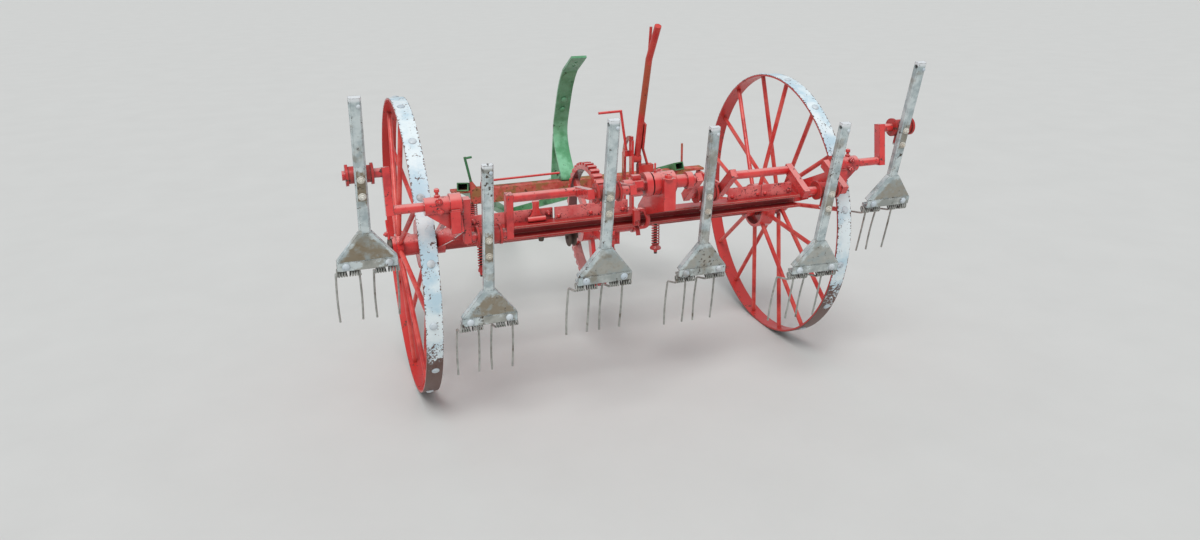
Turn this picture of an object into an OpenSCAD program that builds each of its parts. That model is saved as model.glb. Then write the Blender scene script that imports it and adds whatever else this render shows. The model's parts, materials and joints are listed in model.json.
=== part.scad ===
// Six-fork hay tedder, drawn by horse or small tractor, as it stands with its drawbar on the floor.
// Millimetres. X runs along the axle to the right, Y forward, Z up.
// The origin lies on the floor below the middle of the whole machine. The forks are at the rear (-Y).

/* [Wheels] */
// outer radius of the iron tyre
wheel_r = 527.5; // [500:0.5:560]
// width of the iron tyre
tread_w = 54; // [44:1:64]
// thickness of the iron tyre
tread_t = 8; // [6:1:12]
// middle of each tyre from the middle of the machine
wheel_x = 735; // [725:1:760]
// number of spokes in a wheel
spoke_n = 16; // [12:2:20]
// diameter of a spoke
spoke_d = 17; // [12:1:22]
// radius of the outer flange of the hub
hub_r = 46; // [42:1:56]
// outer end of the hub, from the middle of the tyre
hub_out = 62; // [52:1:66]
// radius of the ratchet drum at the inner end of the hub
drum_r = 88; // [80:1:94]
// length of the ratchet drum
drum_w = 56; // [48:1:58]
// inner face of the ratchet drum, from the middle of the tyre
drum_in = -83; // [-84:1:-78]

/* [Axle and ring gear] */
// diameter of the axle
axle_d = 42; // [36:1:46]
// half length of the axle
axle_half = 812; // [805:1:830]
// middle of the ring gear along the axle
ring_x = -50; // [-80:1:-30]
// radius over the blocks of the ring gear
ring_r = 240; // [230:1:258]
// number of blocks on the ring gear
ring_blocks = 44; // [30:1:50]
// width of the ring gear
ring_w = 34; // [24:1:44]

/* [Crankshaft] */
// place of the crank line behind the axle
crank_y = -560; // [-580:1:-550]
// height of the crank line
crank_z = 824; // [810:1:840]
// throw of the crank
throw_r = 112; // [100:1:115]
// diameter of the shaft
shaft_d = 28; // [26:1:32]
// diameter of a crank pin
pin_d = 28; // [26:1:32]
// thickness of a crank web along the shaft
web_t = 22; // [18:1:26]
// width of a crank web
web_w = 30; // [30:1:36]

/* [Forks] */
// height of an arm above its crank pin
arm_up = 251; // [220:1:260]
// length of an arm below its crank pin
arm_down = 166; // [150:2:180]
// width of an arm
arm_w = 34; // [30:1:40]
// depth of an arm
arm_d = 20; // [18:1:24]
// wall of an arm
arm_t = 3.5; // [3:0.5:5]
// rear face of an arm behind its crank pin
arm_back = 52; // [52:1:58]
// half width of a fork foot
foot_half = 88; // [80:1:92]
// height of the foot triangle
foot_h = 90; // [80:1:96]
// height of the strip along the bottom of a foot
strip_h = 29; // [26:1:36]
// middle of the tine coils in front of the rear face of the arm
coil_y = 16; // [12:1:30]
// diameter of the tine wire in its coils
tine_d = 7; // [6:0.5:8]
// outer diameter of the tine coils
coil_d = 30; // [26:1:34]
// length of the straight lower leg of a tine
tine_l = 170; // [120:5:190]
// radius of the bend in a tine
bend_r = 15; // [12:1:20]
// length of a tine from its coil to the bend
tine_out = 66; // [50:1:80]

/* [Frame] */
// rear face of the rear beam
beam_y = -430; // [-440:1:-410]
// top of the rear beam
beam_z = 690; // [680:1:695]
// half length of the rear beam
beam_half = 603; // [595:1:604]
// rear face of the front rail
rail_y = 278; // [270:1:300]
// top of the front rail
rail_z = 631; // [620:1:640]
// height of the front rail
rail_h = 58; // [50:1:64]
// inner face of the side frames
side_x = 638; // [636:1:640]
// thickness of the side frames
side_t = 8; // [6:1:8]
// reach of the drawbar tip ahead of the axle
tip_y = 1920; // [1850:10:1950]
// place of the drawbar tip to the right
tip_x = 60; // [40:1:80]
// height of the two beams of the drawbar
beam_h = 34; // [28:1:40]

/* [Seat stand and levers] */
// middle of the seat stand
seat_x = -46; // [-60:1:-30]
// width of the seat leaf
leaf_w = 60; // [50:1:70]
// thickness of the seat leaf
leaf_t = 9; // [7:1:12]
// middle of the hand lever
lever_x = 110; // [100:1:120]
// diameter of the hand lever bar
lever_d = 24; // [20:1:28]
// place of the lever pivot behind the axle
lever_y = -88; // [-95:1:-80]
// height of the lever pivot
lever_z = 793; // [780:1:800]

/* [Hidden] */
$fn = 48;
axle_z = wheel_r;
// place of the axle behind the middle of the machine; all places along Y below are counted from the axle
axle_y = -594.15;
// place of the middle of the axle beside the middle of the machine
axle_x = 8;
// running clearance on the diameter of bores that turn
run = 0.1;
// radius of the guide link hole in an arm
link_r = 6;
// radius of the two seat bolt holes
seat_hole_r = 6;
// radius of the hitch eye
hitch_r = 14;
// columns: number, place of the hub along the shaft, crank angle seen from the left in the y-z plane,
// lean of the arm with its top to the rear, place of the arm beside the middle of its hub,
// lean of the bent arm with its top to the right
FORKS = [
    [1, -918, 80, 12.9, 0, 0],
    [2, -556, 275, 10, -11, 0],
    [3, -215, 170, 11.6, -9, 0],
    [4, 203, 318, 8.9, -8, 0],
    [5, 553, 207, 11.1, -9, 2],
    [6, 918, 82, 13.2, -16, 0]
];
// columns: middle of a web along the shaft, its crank angle
WEBS = [
    [-845, 80],
    [-622, 275],
    [-492, 275],
    [-270, 170],
    [-136, 170],
    [136, 318],
    [260, 318],
    [474, 207],
    [619, 207],
    [833, 82]
];
// columns: start and end of a main journal along the shaft
JOURNALS = [
    [-845, -622],
    [-492, -270],
    [-136, 136],
    [260, 474],
    [619, 833]
];
// columns: start and end of a crank pin along the shaft, its crank angle
PINS = [
    [-966, -845, 80],
    [-622, -492, 275],
    [-270, -136, 170],
    [136, 260, 318],
    [474, 619, 207],
    [833, 966, 82]
];
// columns: side of the wheel, angle of its first outer spoke from straight ahead
WHEELS = [
    [-1, 11.25],
    [1, 32.5]
];
// columns: side, inner end and outer end of a main bearing along the shaft
BEARINGS = [
    [-1, 663, 746],
    [1, 670, 731]
];
// height of the duller plate on the left end of the rear beam
dull_h = 38;
// columns: place of a hanging spring along the axle, its lower and upper end, diameter of its foot
SPRINGS = [
    [-536, 503, 605, 30],
    [98, 505, 596, 46]
];
// length and lean of the flat top of the seat leaf
seat_l = 132;
seat_lean = 28;
// places of the seat holes behind the bend
SEAT_HOLES = [52, 90];

// the whole machine is moved so that the origin lies below its middle
module placed() {
    translate([axle_x, axle_y, 0])
        children();
}

// a round bar from point a to point b
module bar(a, b, d) {
    v = b - a;
    l = norm(v);
    translate(a)
        rotate([0, acos(v[2] / l), atan2(v[1], v[0])])
            cylinder(h = l, d = d);
}

// a round bar through a list of points, with ball corners that stand a little proud
module rod(points, d) {
    for (i = [0:len(points) - 2])
        bar(points[i], points[i + 1], d);
    for (i = [1:len(points) - 2])
        translate(points[i])
            sphere(d = d + 1);
}

// a cylinder along X between two places
module along(x0, x1, d) {
    translate([x0, 0, 0])
        rotate([0, 90, 0])
            cylinder(h = x1 - x0, d = d);
}

function dir2(a, b) = (b - a) / norm(b - a);
function side2(d) = [-d[1], d[0]];
// the point beside corner i of a line of points, h away from both of its neighbouring edges
function beside(pts, i, h) =
    let (n = len(pts) - 1,
        m = side2(dir2(pts[max(i - 1, 0)], pts[max(i, 1)])) + side2(dir2(pts[min(i, n - 1)], pts[min(i + 1, n)])))
    pts[i] + m * (2 * h / (m * m));

// outline of a band of width w along a line of points
module band(pts, w) {
    n = len(pts) - 1;
    polygon(concat([for (i = [0:n]) beside(pts, i, w / 2)], [for (i = [n:-1:0]) beside(pts, i, -w / 2)]));
}

// flat outlines in the y-z plane made into a plate between two places on X
module plate_x(x0, x1) {
    translate([x0, 0, 0])
        rotate([90, 0, 90])
            linear_extrude(x1 - x0)
                children();
}

module tyre() {
    rotate([0, 90, 0])
        rotate_extrude($fn = 96)
            translate([wheel_r - tread_t, -tread_w / 2])
                square([tread_t, tread_w]);
}

// every second spoke goes to the outer flange, the others to the drum
module spokes(first) {
    for (i = [0:spoke_n - 1]) {
        a = first + i * 360 / spoke_n;
        outer = i % 2 == 0;
        r = (outer ? hub_r : drum_r) - 7;
        bar([outer ? 36 : -60, r * cos(a), r * sin(a)],
            [outer ? 4 : -4, (wheel_r - tread_t + 2) * cos(a), (wheel_r - tread_t + 2) * sin(a)], spoke_d);
    }
}

module hub() {
    difference() {
        union() {
            along(drum_in, drum_in + drum_w, drum_r * 2);
            along(drum_in + drum_w, hub_out, hub_r * 2 - 16);
            along(24, 48, hub_r * 2);
        }
        // dished inner face
        difference() {
            along(drum_in - 1, drum_in + 20, drum_r * 2 - 24);
            along(drum_in - 2, drum_in + 21, 84);
        }
        along(drum_in - 1, hub_out + 1, axle_d + run);
    }
}

module at_wheel(s) {
    translate([s * wheel_x, 0, axle_z])
        mirror([s < 0 ? 1 : 0, 0, 0])
            children();
}

module axle_shaft() {
    color("dimgray")
        translate([0, 0, axle_z])
            union() {
                along(-axle_half, axle_half, axle_d);
                for (s = [-1, 1])
                    along(s * (axle_half - 8) - 6, s * (axle_half - 8) + 6, axle_d + 18);
            }
}

module ring_gear() {
    color("firebrick")
        translate([ring_x, 0, axle_z])
            difference() {
                union() {
                    rotate([0, 90, 0])
                        rotate_extrude($fn = 96)
                            translate([ring_r - 26, -ring_w / 2])
                                square([16, ring_w]);
                    for (i = [0:ring_blocks - 1])
                        rotate([i * 360 / ring_blocks, 0, 0])
                            translate([-ring_w / 2, -8, ring_r - 14])
                                cube([ring_w, 16, 14]);
                    for (i = [0:4])
                        rotate([i * 72 + 20, 0, 0])
                            translate([-8, -17, 40])
                                cube([16, 34, ring_r - 60]);
                    along(-45, 45, 124);
                }
                along(-46, 46, axle_d + run);
            }
}

module at_pin(angle) {
    translate([0, crank_y + throw_r * cos(angle), crank_z + throw_r * sin(angle)])
        children();
}

module crankshaft() {
    color("crimson")
        union() {
            translate([0, crank_y, crank_z])
                for (j = JOURNALS)
                    along(j[0], j[1], shaft_d);
            for (p = PINS)
                at_pin(p[2])
                    along(p[0], p[1], pin_d);
            for (w = WEBS)
                translate([w[0] - web_t / 2, crank_y, crank_z])
                    rotate([w[1], 0, 0])
                        translate([0, -web_w / 2, -web_w / 2])
                            cube([web_t, throw_r + web_w, web_w]);
        }
}

module clutch() {
    color("crimson")
        translate([0, crank_y, crank_z])
            difference() {
                union() {
                    along(-124, -55, 42);
                    along(-55, -33, 78);
                    for (i = [0:4])
                        rotate([i * 72, 0, 0])
                            translate([-94, -10, 16])
                                cube([28, 20, 18]);
                    along(54, 106, 42);
                    along(91, 112, 56);
                }
                along(-200, 200, shaft_d + run);
            }
}

// a fork part is drawn with its crank pin along X through the origin
// the section of an arm has bevelled rear corners; g makes it smaller for the hollow
module arm_section(g) {
    w = arm_w / 2 - g;
    r = -arm_back + g;
    f = -arm_back + arm_d + (g > 0 ? 1 : 0);
    polygon([[-w, f], [-w, r + 5], [5 - w, r], [w - 5, r], [w, r + 5], [w, f]]);
}

module fork_arm(i) {
    color("lightsteelblue")
        difference() {
            union() {
                beside_hub(i) {
                    translate([0, 0, -arm_down])
                        difference() {
                            linear_extrude(arm_up + arm_down)
                                arm_section(0);
                            translate([0, 0, -1])
                                linear_extrude(arm_up + arm_down - 29)
                                    arm_section(arm_t);
                        }
                    // clamp block between the arm and its hub
                    translate([-13, -arm_back + arm_t, -56])
                        cube([26, arm_back - 20, 76]);
                }
                along(-39, 39, 50);
                for (s = [-1, 1])
                    along(s * 35 - 4, s * 35 + 4, 62);
            }
            along(-50, 50, pin_d + run);
            // hole for the guide link, through the solid top end
            beside_hub(i)
                translate([0, -arm_back + arm_d / 2, arm_up - 14])
                    along(-20, 20, link_r * 2);
        }
}

module fork_foot() {
    color("lightsteelblue")
        translate([0, -arm_back, -arm_down])
            union() {
                rotate([-90, 0, 0])
                    linear_extrude(4)
                        polygon([[-20, 0], [20, 0], [foot_half, foot_h], [-foot_half, foot_h]]);
                for (s = [-1, 1])
                    rotate([-90, 0, 0])
                        linear_extrude(18)
                            polygon([[s * 20, 0], [s * foot_half, foot_h], [s * (foot_half - 5), foot_h], [s * 15, 0]]);
                // tongue inside the arm
                translate([-8, arm_t + 0.3, -40])
                    cube([16, 8, 90]);
                translate([-foot_half, -3, -foot_h - strip_h])
                    cube([foot_half * 2, 6, strip_h]);
                // shelf and clips above the coils
                translate([-foot_half, 2, -foot_h - strip_h])
                    cube([foot_half * 2, coil_y + 8, 4]);
                for (x = [-foot_half, 22])
                    translate([x, coil_y - 8, -foot_h - strip_h + 3])
                        cube([foot_half - 22, 18, 6]);
            }
}

// columns: place of a coil along the foot, side on which its wire leaves
TINES = [
    [-80, -1],
    [-33, 1],
    [33, -1],
    [80, 1]
];
// slope of a tine from its coil to the bend, downwards to the front
tine_slope = 24;
coil_n = 4;

// half section of a close coil of n turns: a smooth bore and a row of round backs
function coil_profile(n) = concat(
    [for (i = [0:n - 1]) for (a = [-54, -18, 18, 54])
        [coil_d / 2 - tine_d / 2 + tine_d / 2 * cos(a), (i - (n - 1) / 2) * (tine_d - 0.8) + tine_d / 2 * sin(a)]],
    [[coil_d / 2 - tine_d, (n / 2) * (tine_d - 0.8)], [coil_d / 2 - tine_d, -(n / 2) * (tine_d - 0.8)]]);

// a tine: a coil along X, from whose underside the wire runs forward and turns down
module tine(side) {
    x1 = side * (coil_n - 1) / 2 * (tine_d - 0.8);
    w = tine_d - 1.2;
    r = (coil_d - tine_d) / 2 - 0.5;
    y1 = tine_out * cos(tine_slope);
    z1 = -r - tine_out * sin(tine_slope);
    // middle of the bend
    ym = y1 - bend_r * sin(tine_slope);
    zm = z1 - bend_r * cos(tine_slope);
    rotate([0, 90, 0])
        rotate_extrude($fn = 32)
            polygon(coil_profile(coil_n));
    translate([x1, 0, -r])
        rotate([-90 - tine_slope, 0, 0])
            cylinder(h = tine_out + 1, d = w, $fn = 24);
    // the bend is a little thicker than the straight parts that run into it
    translate([x1, ym, zm])
        rotate([90, 0, 90])
            rotate_extrude(angle = 90 - tine_slope, $fn = 48)
                translate([bend_r, 0])
                    circle(d = w + 0.6, $fn = 24);
    translate([x1, ym + bend_r, zm - tine_l])
        cylinder(h = tine_l + 1, d = w, $fn = 24);
}

module fork_tines() {
    color("silver")
        translate([0, coil_y - arm_back, -arm_down - foot_h - strip_h - coil_d / 2 - 0.3])
            for (t = TINES)
                translate([t[0], 0, 0])
                    tine(t[1]);
}

module at_fork(i) {
    f = FORKS[i];
    at_pin(f[2])
        translate([f[1], 0, 0])
            rotate([f[3], 0, 0])
                children();
}

module beside_hub(i) {
    translate([FORKS[i][4], 0, 0])
        rotate([0, FORKS[i][5], 0])
            children();
}

module side_frames() {
    color("firebrick")
        for (s = [-1, 1])
            difference() {
                union() {
                    plate_x(s > 0 ? side_x : -side_x - side_t, s > 0 ? side_x + side_t : -side_x)
                        union() {
                            // head under the crank bearing
                            band([[crank_y - 25, crank_z - 44], [beam_y + 30, beam_z + 10]], 70);
                            // arm from the rear beam down to the axle box
                            band([[beam_y + 20, beam_z], [0, axle_z], [50, axle_z + 11]], 50);
                        }
                    // flat bar that runs inwards to below the end of the front rail
                    box_bar([s * (side_x + 4), 15, axle_z + 6], [s > 0 ? 540 : -500, rail_y + 22, rail_z - 23.8], 11, 30, 0);
                    translate([0, 0, axle_z])
                        along(s > 0 ? side_x - 26 : -side_x - side_t, s > 0 ? side_x + side_t : -side_x + 26, 86);
                    // bracket that takes the end of the rear beam
                    translate([s > 0 ? beam_half - 13 : -side_x - 1, beam_y + 50.1, beam_z - 40])
                        cube([side_x - beam_half + 14, 9, 85]);
                }
                translate([0, 0, axle_z])
                    along(s * 640 - 80, s * 640 + 80, axle_d + run);
                // seat of the crank bearing
                translate([0, crank_y, crank_z])
                    along(s * 640 - 40, s * 640 + 40, 66.6);
            }
}

module main_bearings() {
    color("firebrick")
        for (b = BEARINGS)
            mirror([b[0] < 0 ? 1 : 0, 0, 0])
                difference() {
                    union() {
                        translate([0, crank_y, crank_z]) {
                            along(side_x, 672, 66);
                            along(b[1], b[2], 54);
                        }
                        // block under the cap, and the flange at its rear
                        translate([side_x + side_t + 0.2, crank_y - 40, crank_z - 64])
                            cube([672 - side_x - side_t, 62, 56]);
                        translate([side_x + side_t + 0.2, crank_y - 42, crank_z - 79])
                            cube([675 - side_x - side_t, 12, 67]);
                        // gusset below the barrel
                        translate([0, crank_y - 5, crank_z])
                            rotate([90, 0, 0])
                                linear_extrude(10)
                                    polygon([[668, -30], [668, -72], [674, -72], [740 - (746 - b[2]), -24], [740 - (746 - b[2]), -10],
                                        [668, -10]]);
                    }
                    translate([0, crank_y, crank_z])
                        along(600, 800, shaft_d + run);
                }
}

module rear_beam() {
    color("darkred")
        plate_x(-beam_half, beam_half)
            polygon([[beam_y, beam_z], [beam_y, beam_z - 8], [beam_y + 42, beam_z - 8], [beam_y + 42, beam_z - 37],
                [beam_y, beam_z - 37], [beam_y, beam_z - 45], [beam_y + 50, beam_z - 45], [beam_y + 50, beam_z]]);
}

module guard_plates() {
    color("indianred")
        union() {
            for (p = [[-304, -48], [329, 458], [460, 581]])
                translate([p[0], beam_y + 25, beam_z])
                    cube([p[1] - p[0], 6, 43]);
            // the duller plate of the left end stands further forward
            translate([-588, beam_y + 43, beam_z])
                cube([282, 7, dull_h]);
        }
}

module centre_bearing() {
    color("crimson")
        difference() {
            union() {
                translate([0, crank_y, crank_z])
                    along(-28, 48, 74);
                plate_x(-4, 36)
                    polygon([[-612, 848], [-612, 744], [-596, 738], [beam_y - 30, beam_z], [beam_y + 44, beam_z],
                        [beam_y + 44, beam_z + 14], [beam_y - 60, crank_z - 22], [-518, 848]]);
            }
            translate([0, crank_y, crank_z])
                along(-30, 60, shaft_d + run);
        }
}

module axle_sleeves() {
    color("darkred")
        translate([0, 0, axle_z])
            difference() {
                union() {
                    along(-side_x + 26, -110, 66);
                    along(10, side_x - 26, 66);
                }
                along(-side_x, side_x, axle_d + run);
            }
}

module front_rail() {
    color("sienna")
        union() {
            translate([-453, rail_y, rail_z - rail_h])
                cube([953, 9, rail_h]);
            translate([-525, rail_y, rail_z - 9])
                cube([1089, 50, 9]);
            // triangular plate on the left end
            translate([0, rail_y + 9, 0])
                rotate([90, 0, 0])
                    linear_extrude(9)
                        polygon([[-453, rail_z - 5], [-418, rail_z - 5], [-418, rail_z], [-446, rail_z + 41], [-453, rail_z + 41]]);
            // bent pin at the left, straight pin at the right
            bar([-464, rail_y + 22, 762], [-438, rail_y + 22, rail_z - 4], 10);
            bar([-464, rail_y + 22, 757], [-436, rail_y + 22, 760], 9);
            bar([473, rail_y + 32, rail_z - 4], [473, rail_y + 32, 738], 9);
        }
}

// a flat bar from a to b, w wide and h high, with a hollow first end where wall is more than 0
module box_bar(a, b, w, h, wall) {
    v = b - a;
    l = norm(v);
    translate(a)
        rotate([0, 0, atan2(v[1], v[0])])
            rotate([0, -asin(v[2] / l), 0])
                difference() {
                    translate([0, -w / 2, -h / 2])
                        cube([l, w, h]);
                    if (wall > 0)
                        translate([-1, -w / 2 + wall, -h / 2 + wall])
                            cube([100, w - 2 * wall, h - 2 * wall]);
                }
}

module drawbar() {
    color("seagreen")
        difference() {
            union() {
                for (x = [-482, 449])
                    box_bar([x, rail_y + 2, rail_z + 17], [tip_x, tip_y, 24], 46, beam_h, 5);
                translate([tip_x, tip_y, 0])
                    cylinder(h = 44, r = 40);
            }
            translate([tip_x, tip_y, -1])
                cylinder(h = 90, r = hitch_r);
            // nothing reaches below the floor
            translate([tip_x - 300, tip_y - 300, -80])
                cube([600, 600, 80]);
            // flat seat round the hitch eye
            translate([tip_x, tip_y, 44])
                cylinder(h = 60, r = 34);
            // seat on the front rail
            translate([-700, rail_y - 50, rail_z - 80])
                cube([1400, 100, 80]);
        }
}

// cross tie between the beams, which carries the stay of the seat
module cross_tie() {
    color("seagreen")
        difference() {
            translate([-418, 450, 578])
                cube([820, 40, 10]);
            for (x = [-482, 449])
                box_bar([x, rail_y + 2, rail_z + 17], [tip_x, tip_y, 24], 46.2, beam_h + 30, 0);
        }
}

// the seat leaf as a line of points from the front rail upwards
LEAF = [[rail_y + 46, rail_z + leaf_t / 2], [rail_y + 10, rail_z + leaf_t / 2], [385, 822], [370, 860], [300, 1015],
    [227, 1089], [227 - seat_l * cos(seat_lean), 1089 + seat_l * sin(seat_lean)]];

module seat_stand() {
    color("mediumseagreen")
        difference() {
            plate_x(seat_x - leaf_w / 2, seat_x + leaf_w / 2)
                union() {
                    band(LEAF, leaf_t);
                    band([[440, 588 + leaf_t / 2], [474, 588 + leaf_t / 2], [383, 818]], leaf_t);
                }
            for (y = SEAT_HOLES)
                at_seat()
                    translate([0, -y, -20])
                        cylinder(h = 40, r = seat_hole_r);
        }
}

// the top of the seat leaf, from its bend towards the rear
module at_seat() {
    translate([seat_x, 227, 1089])
        rotate([-seat_lean, 0, 0])
            children();
}

module lever_stand() {
    color("crimson")
        difference() {
            plate_x(lever_x - 26, lever_x - 18)
                union() {
                    // rear post and front leg, joined by a quarter arch about the pivot
                    translate([-103, 545])
                        square([30, 319]);
                    band([[-5, 545], [-10, 800]], 24);
                    difference() {
                        translate([lever_y, lever_z])
                            circle(r = 85);
                        translate([lever_y, lever_z])
                            circle(r = 70);
                        translate([lever_y - 100, lever_z - 100])
                            square([200, 99]);
                        translate([lever_y - 100, lever_z - 100])
                            square([90, 200]);
                    }
                }
            translate([0, 0, axle_z])
                along(0, 200, 66.6);
        }
}

module hand_lever() {
    color("crimson")
        union() {
            rod([[lever_x, lever_y, lever_z], [lever_x, -127, 939], [lever_x, -200, 1170], [lever_x, -279, 1289]], lever_d);
            // pivot boss
            translate([0, lever_y, lever_z])
                along(lever_x - 17.9, lever_x + 12, 32);
            // foot block below the pivot, with its strap beside the lever
            translate([lever_x + 2, lever_y - 14, lever_z - 68])
                cube([59, 28, 42]);
            translate([lever_x + 2, lever_y - 9, lever_z - 30])
                cube([12, 18, 20]);
            bar([lever_x + 42, lever_y, lever_z - 30], [lever_x + 16, -100, lever_z + 45], 10);
            translate([lever_x + 11, -100, lever_z + 40])
                rotate([14, 0, 0])
                    translate([0, -12, 0])
                        cube([8, 24, 100]);
            // latch grip in front of the handle
            bar([lever_x, -196, 1160], [lever_x, -217, 1281], 10);
        }
}

module trip_rod() {
    color("crimson")
        union() {
            rod([[-30, -60, 966], [57, -60, 968], [79, -60, 812]], 10);
            // block on the front of the rear post
            translate([67, -72.5, 798])
                cube([19, 24, 22]);
        }
}

module hanging_springs() {
    color("firebrick")
        for (p = SPRINGS) {
            translate([p[0], -300, p[1]])
                difference() {
                    cylinder(h = p[2] - p[1], d = 20);
                    translate([0, 0, -1])
                        cylinder(h = p[2] - p[1] - 6, d = 11);
                }
            // foot, and the hanger from the front of the rear beam
            translate([p[0], -300, p[1] - 3])
                cylinder(h = 12, d = p[3]);
            bar([p[0], -300, p[2] - 3], [p[0], beam_y + 54, beam_z - 14], 9);
        }
}

placed() color("gainsboro") at_wheel(-1) tyre();  // tyre_left
placed() color("firebrick") at_wheel(-1) spokes(WHEELS[0][1]);  // spokes_left
placed() color("firebrick") at_wheel(-1) hub();  // hub_left
placed() color("gainsboro") at_wheel(1) tyre();  // tyre_right
placed() color("firebrick") at_wheel(1) spokes(WHEELS[1][1]);  // spokes_right
placed() color("firebrick") at_wheel(1) hub();  // hub_right
placed() axle_shaft();
placed() ring_gear();
placed() crankshaft();
placed() clutch();
placed() at_fork(0) fork_arm(0);  // fork_1_arm
placed() at_fork(0) beside_hub(0) fork_foot();  // fork_1_foot
placed() at_fork(0) beside_hub(0) fork_tines();  // fork_1_tines
placed() at_fork(1) fork_arm(1);  // fork_2_arm
placed() at_fork(1) beside_hub(1) fork_foot();  // fork_2_foot
placed() at_fork(1) beside_hub(1) fork_tines();  // fork_2_tines
placed() at_fork(2) fork_arm(2);  // fork_3_arm
placed() at_fork(2) beside_hub(2) fork_foot();  // fork_3_foot
placed() at_fork(2) beside_hub(2) fork_tines();  // fork_3_tines
placed() at_fork(3) fork_arm(3);  // fork_4_arm
placed() at_fork(3) beside_hub(3) fork_foot();  // fork_4_foot
placed() at_fork(3) beside_hub(3) fork_tines();  // fork_4_tines
placed() at_fork(4) fork_arm(4);  // fork_5_arm
placed() at_fork(4) beside_hub(4) fork_foot();  // fork_5_foot
placed() at_fork(4) beside_hub(4) fork_tines();  // fork_5_tines
placed() at_fork(5) fork_arm(5);  // fork_6_arm
placed() at_fork(5) beside_hub(5) fork_foot();  // fork_6_foot
placed() at_fork(5) beside_hub(5) fork_tines();  // fork_6_tines
placed() side_frames();
placed() main_bearings();
placed() rear_beam();
placed() guard_plates();
placed() centre_bearing();
placed() axle_sleeves();
placed() front_rail();
placed() drawbar();
placed() cross_tie();
placed() seat_stand();
placed() lever_stand();
placed() hand_lever();
placed() trip_rod();
placed() hanging_springs();
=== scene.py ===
"""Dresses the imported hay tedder: paint, rust and bare steel on its CAD nodes, and the small parts on them.

Lengths in the classes are millimetres in the machine's own frame. Its origin lies on the floor below the
middle of the axle, with X to the right, Y forward and Z up. Drawing.point turns them into the metres of the
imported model.
"""

import json
import logging
import math
from dataclasses import dataclass, replace
from enum import Enum

import bpy
import numpy as np
from mathutils import Matrix


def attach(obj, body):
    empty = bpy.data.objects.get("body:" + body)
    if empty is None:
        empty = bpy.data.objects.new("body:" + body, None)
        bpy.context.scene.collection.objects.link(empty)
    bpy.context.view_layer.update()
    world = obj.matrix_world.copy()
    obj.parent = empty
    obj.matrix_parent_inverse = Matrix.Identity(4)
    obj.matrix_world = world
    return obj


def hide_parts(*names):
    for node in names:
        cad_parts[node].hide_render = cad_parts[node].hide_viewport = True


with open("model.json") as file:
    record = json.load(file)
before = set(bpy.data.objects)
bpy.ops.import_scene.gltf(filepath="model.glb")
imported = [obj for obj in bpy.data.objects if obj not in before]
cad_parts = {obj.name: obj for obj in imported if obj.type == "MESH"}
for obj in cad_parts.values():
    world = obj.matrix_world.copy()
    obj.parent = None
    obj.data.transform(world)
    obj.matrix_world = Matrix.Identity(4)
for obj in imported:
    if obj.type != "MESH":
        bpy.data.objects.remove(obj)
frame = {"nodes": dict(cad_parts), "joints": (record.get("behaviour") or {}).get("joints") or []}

LOG = logging.getLogger("hay_tedder")
Colour = tuple[float, float, float, float]
Place = tuple[float, float, float]
Outline = tuple[tuple[float, float], ...]


def srgb(red: int, green: int, blue: int) -> Colour:
    """Turns screen values from 0 to 255 into linear light.

    A share c of full light becomes c/12.92 near black and ((c + 0.055)/1.055)^2.4 above.

    Args:
        red: screen value of the red channel.
        green: screen value of the green channel.
        blue: screen value of the blue channel.

    Returns:
        The colour in linear light, with an alpha of 1.
    """
    share = np.array([red, green, blue]) / 255.0
    light = np.where(share <= 0.04045, share / 12.92, ((share + 0.055) / 1.055) ** 2.4)
    return (float(light[0]), float(light[1]), float(light[2]), 1.0)


# Surfaces worked out as arrays


def unit(vectors: np.ndarray) -> np.ndarray:
    """Divides each vector by its own length."""
    return vectors / np.maximum(np.linalg.norm(vectors, axis=-1, keepdims=True), 1e-12)


@dataclass
class Surface:
    """A mesh in arrays: points, four-sided faces and three-sided faces."""

    points: np.ndarray
    quads: np.ndarray
    tris: np.ndarray

    def moved(self, matrix: np.ndarray) -> "Surface":
        """Returns the surface with each point p put at matrix times p.

        Args:
            matrix: a 4 by 4 matrix without mirroring.

        Returns:
            A new surface.
        """
        return Surface(self.points @ matrix[:3, :3].T + matrix[:3, 3], self.quads, self.tris)

    def copies(self, matrices: np.ndarray) -> "Surface":
        """Returns one surface that holds a copy for each matrix, all worked out in one product.

        Args:
            matrices: an array of K 4 by 4 matrices.

        Returns:
            A surface with K times the points and faces.
        """
        count = len(self.points)
        points = np.einsum("kij,nj->kni", matrices[:, :3, :3], self.points) + matrices[:, None, :3, 3]
        steps = np.arange(len(matrices))[:, None, None] * count
        quads = (self.quads[None] + steps).reshape(-1, 4)
        tris = (self.tris[None] + steps).reshape(-1, 3)
        return Surface(points.reshape(-1, 3), quads, tris)


def joined(parts: list[Surface]) -> Surface:
    """Puts several surfaces into one, with the face numbers of each moved past the points before it.

    Args:
        parts: the surfaces.

    Returns:
        One surface with all their points and faces.
    """
    starts = np.cumsum([0] + [len(part.points) for part in parts[:-1]])
    return Surface(
        np.concatenate([part.points for part in parts]),
        np.concatenate([part.quads + start for part, start in zip(parts, starts)]),
        np.concatenate([part.tris + start for part, start in zip(parts, starts)]),
    )


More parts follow.
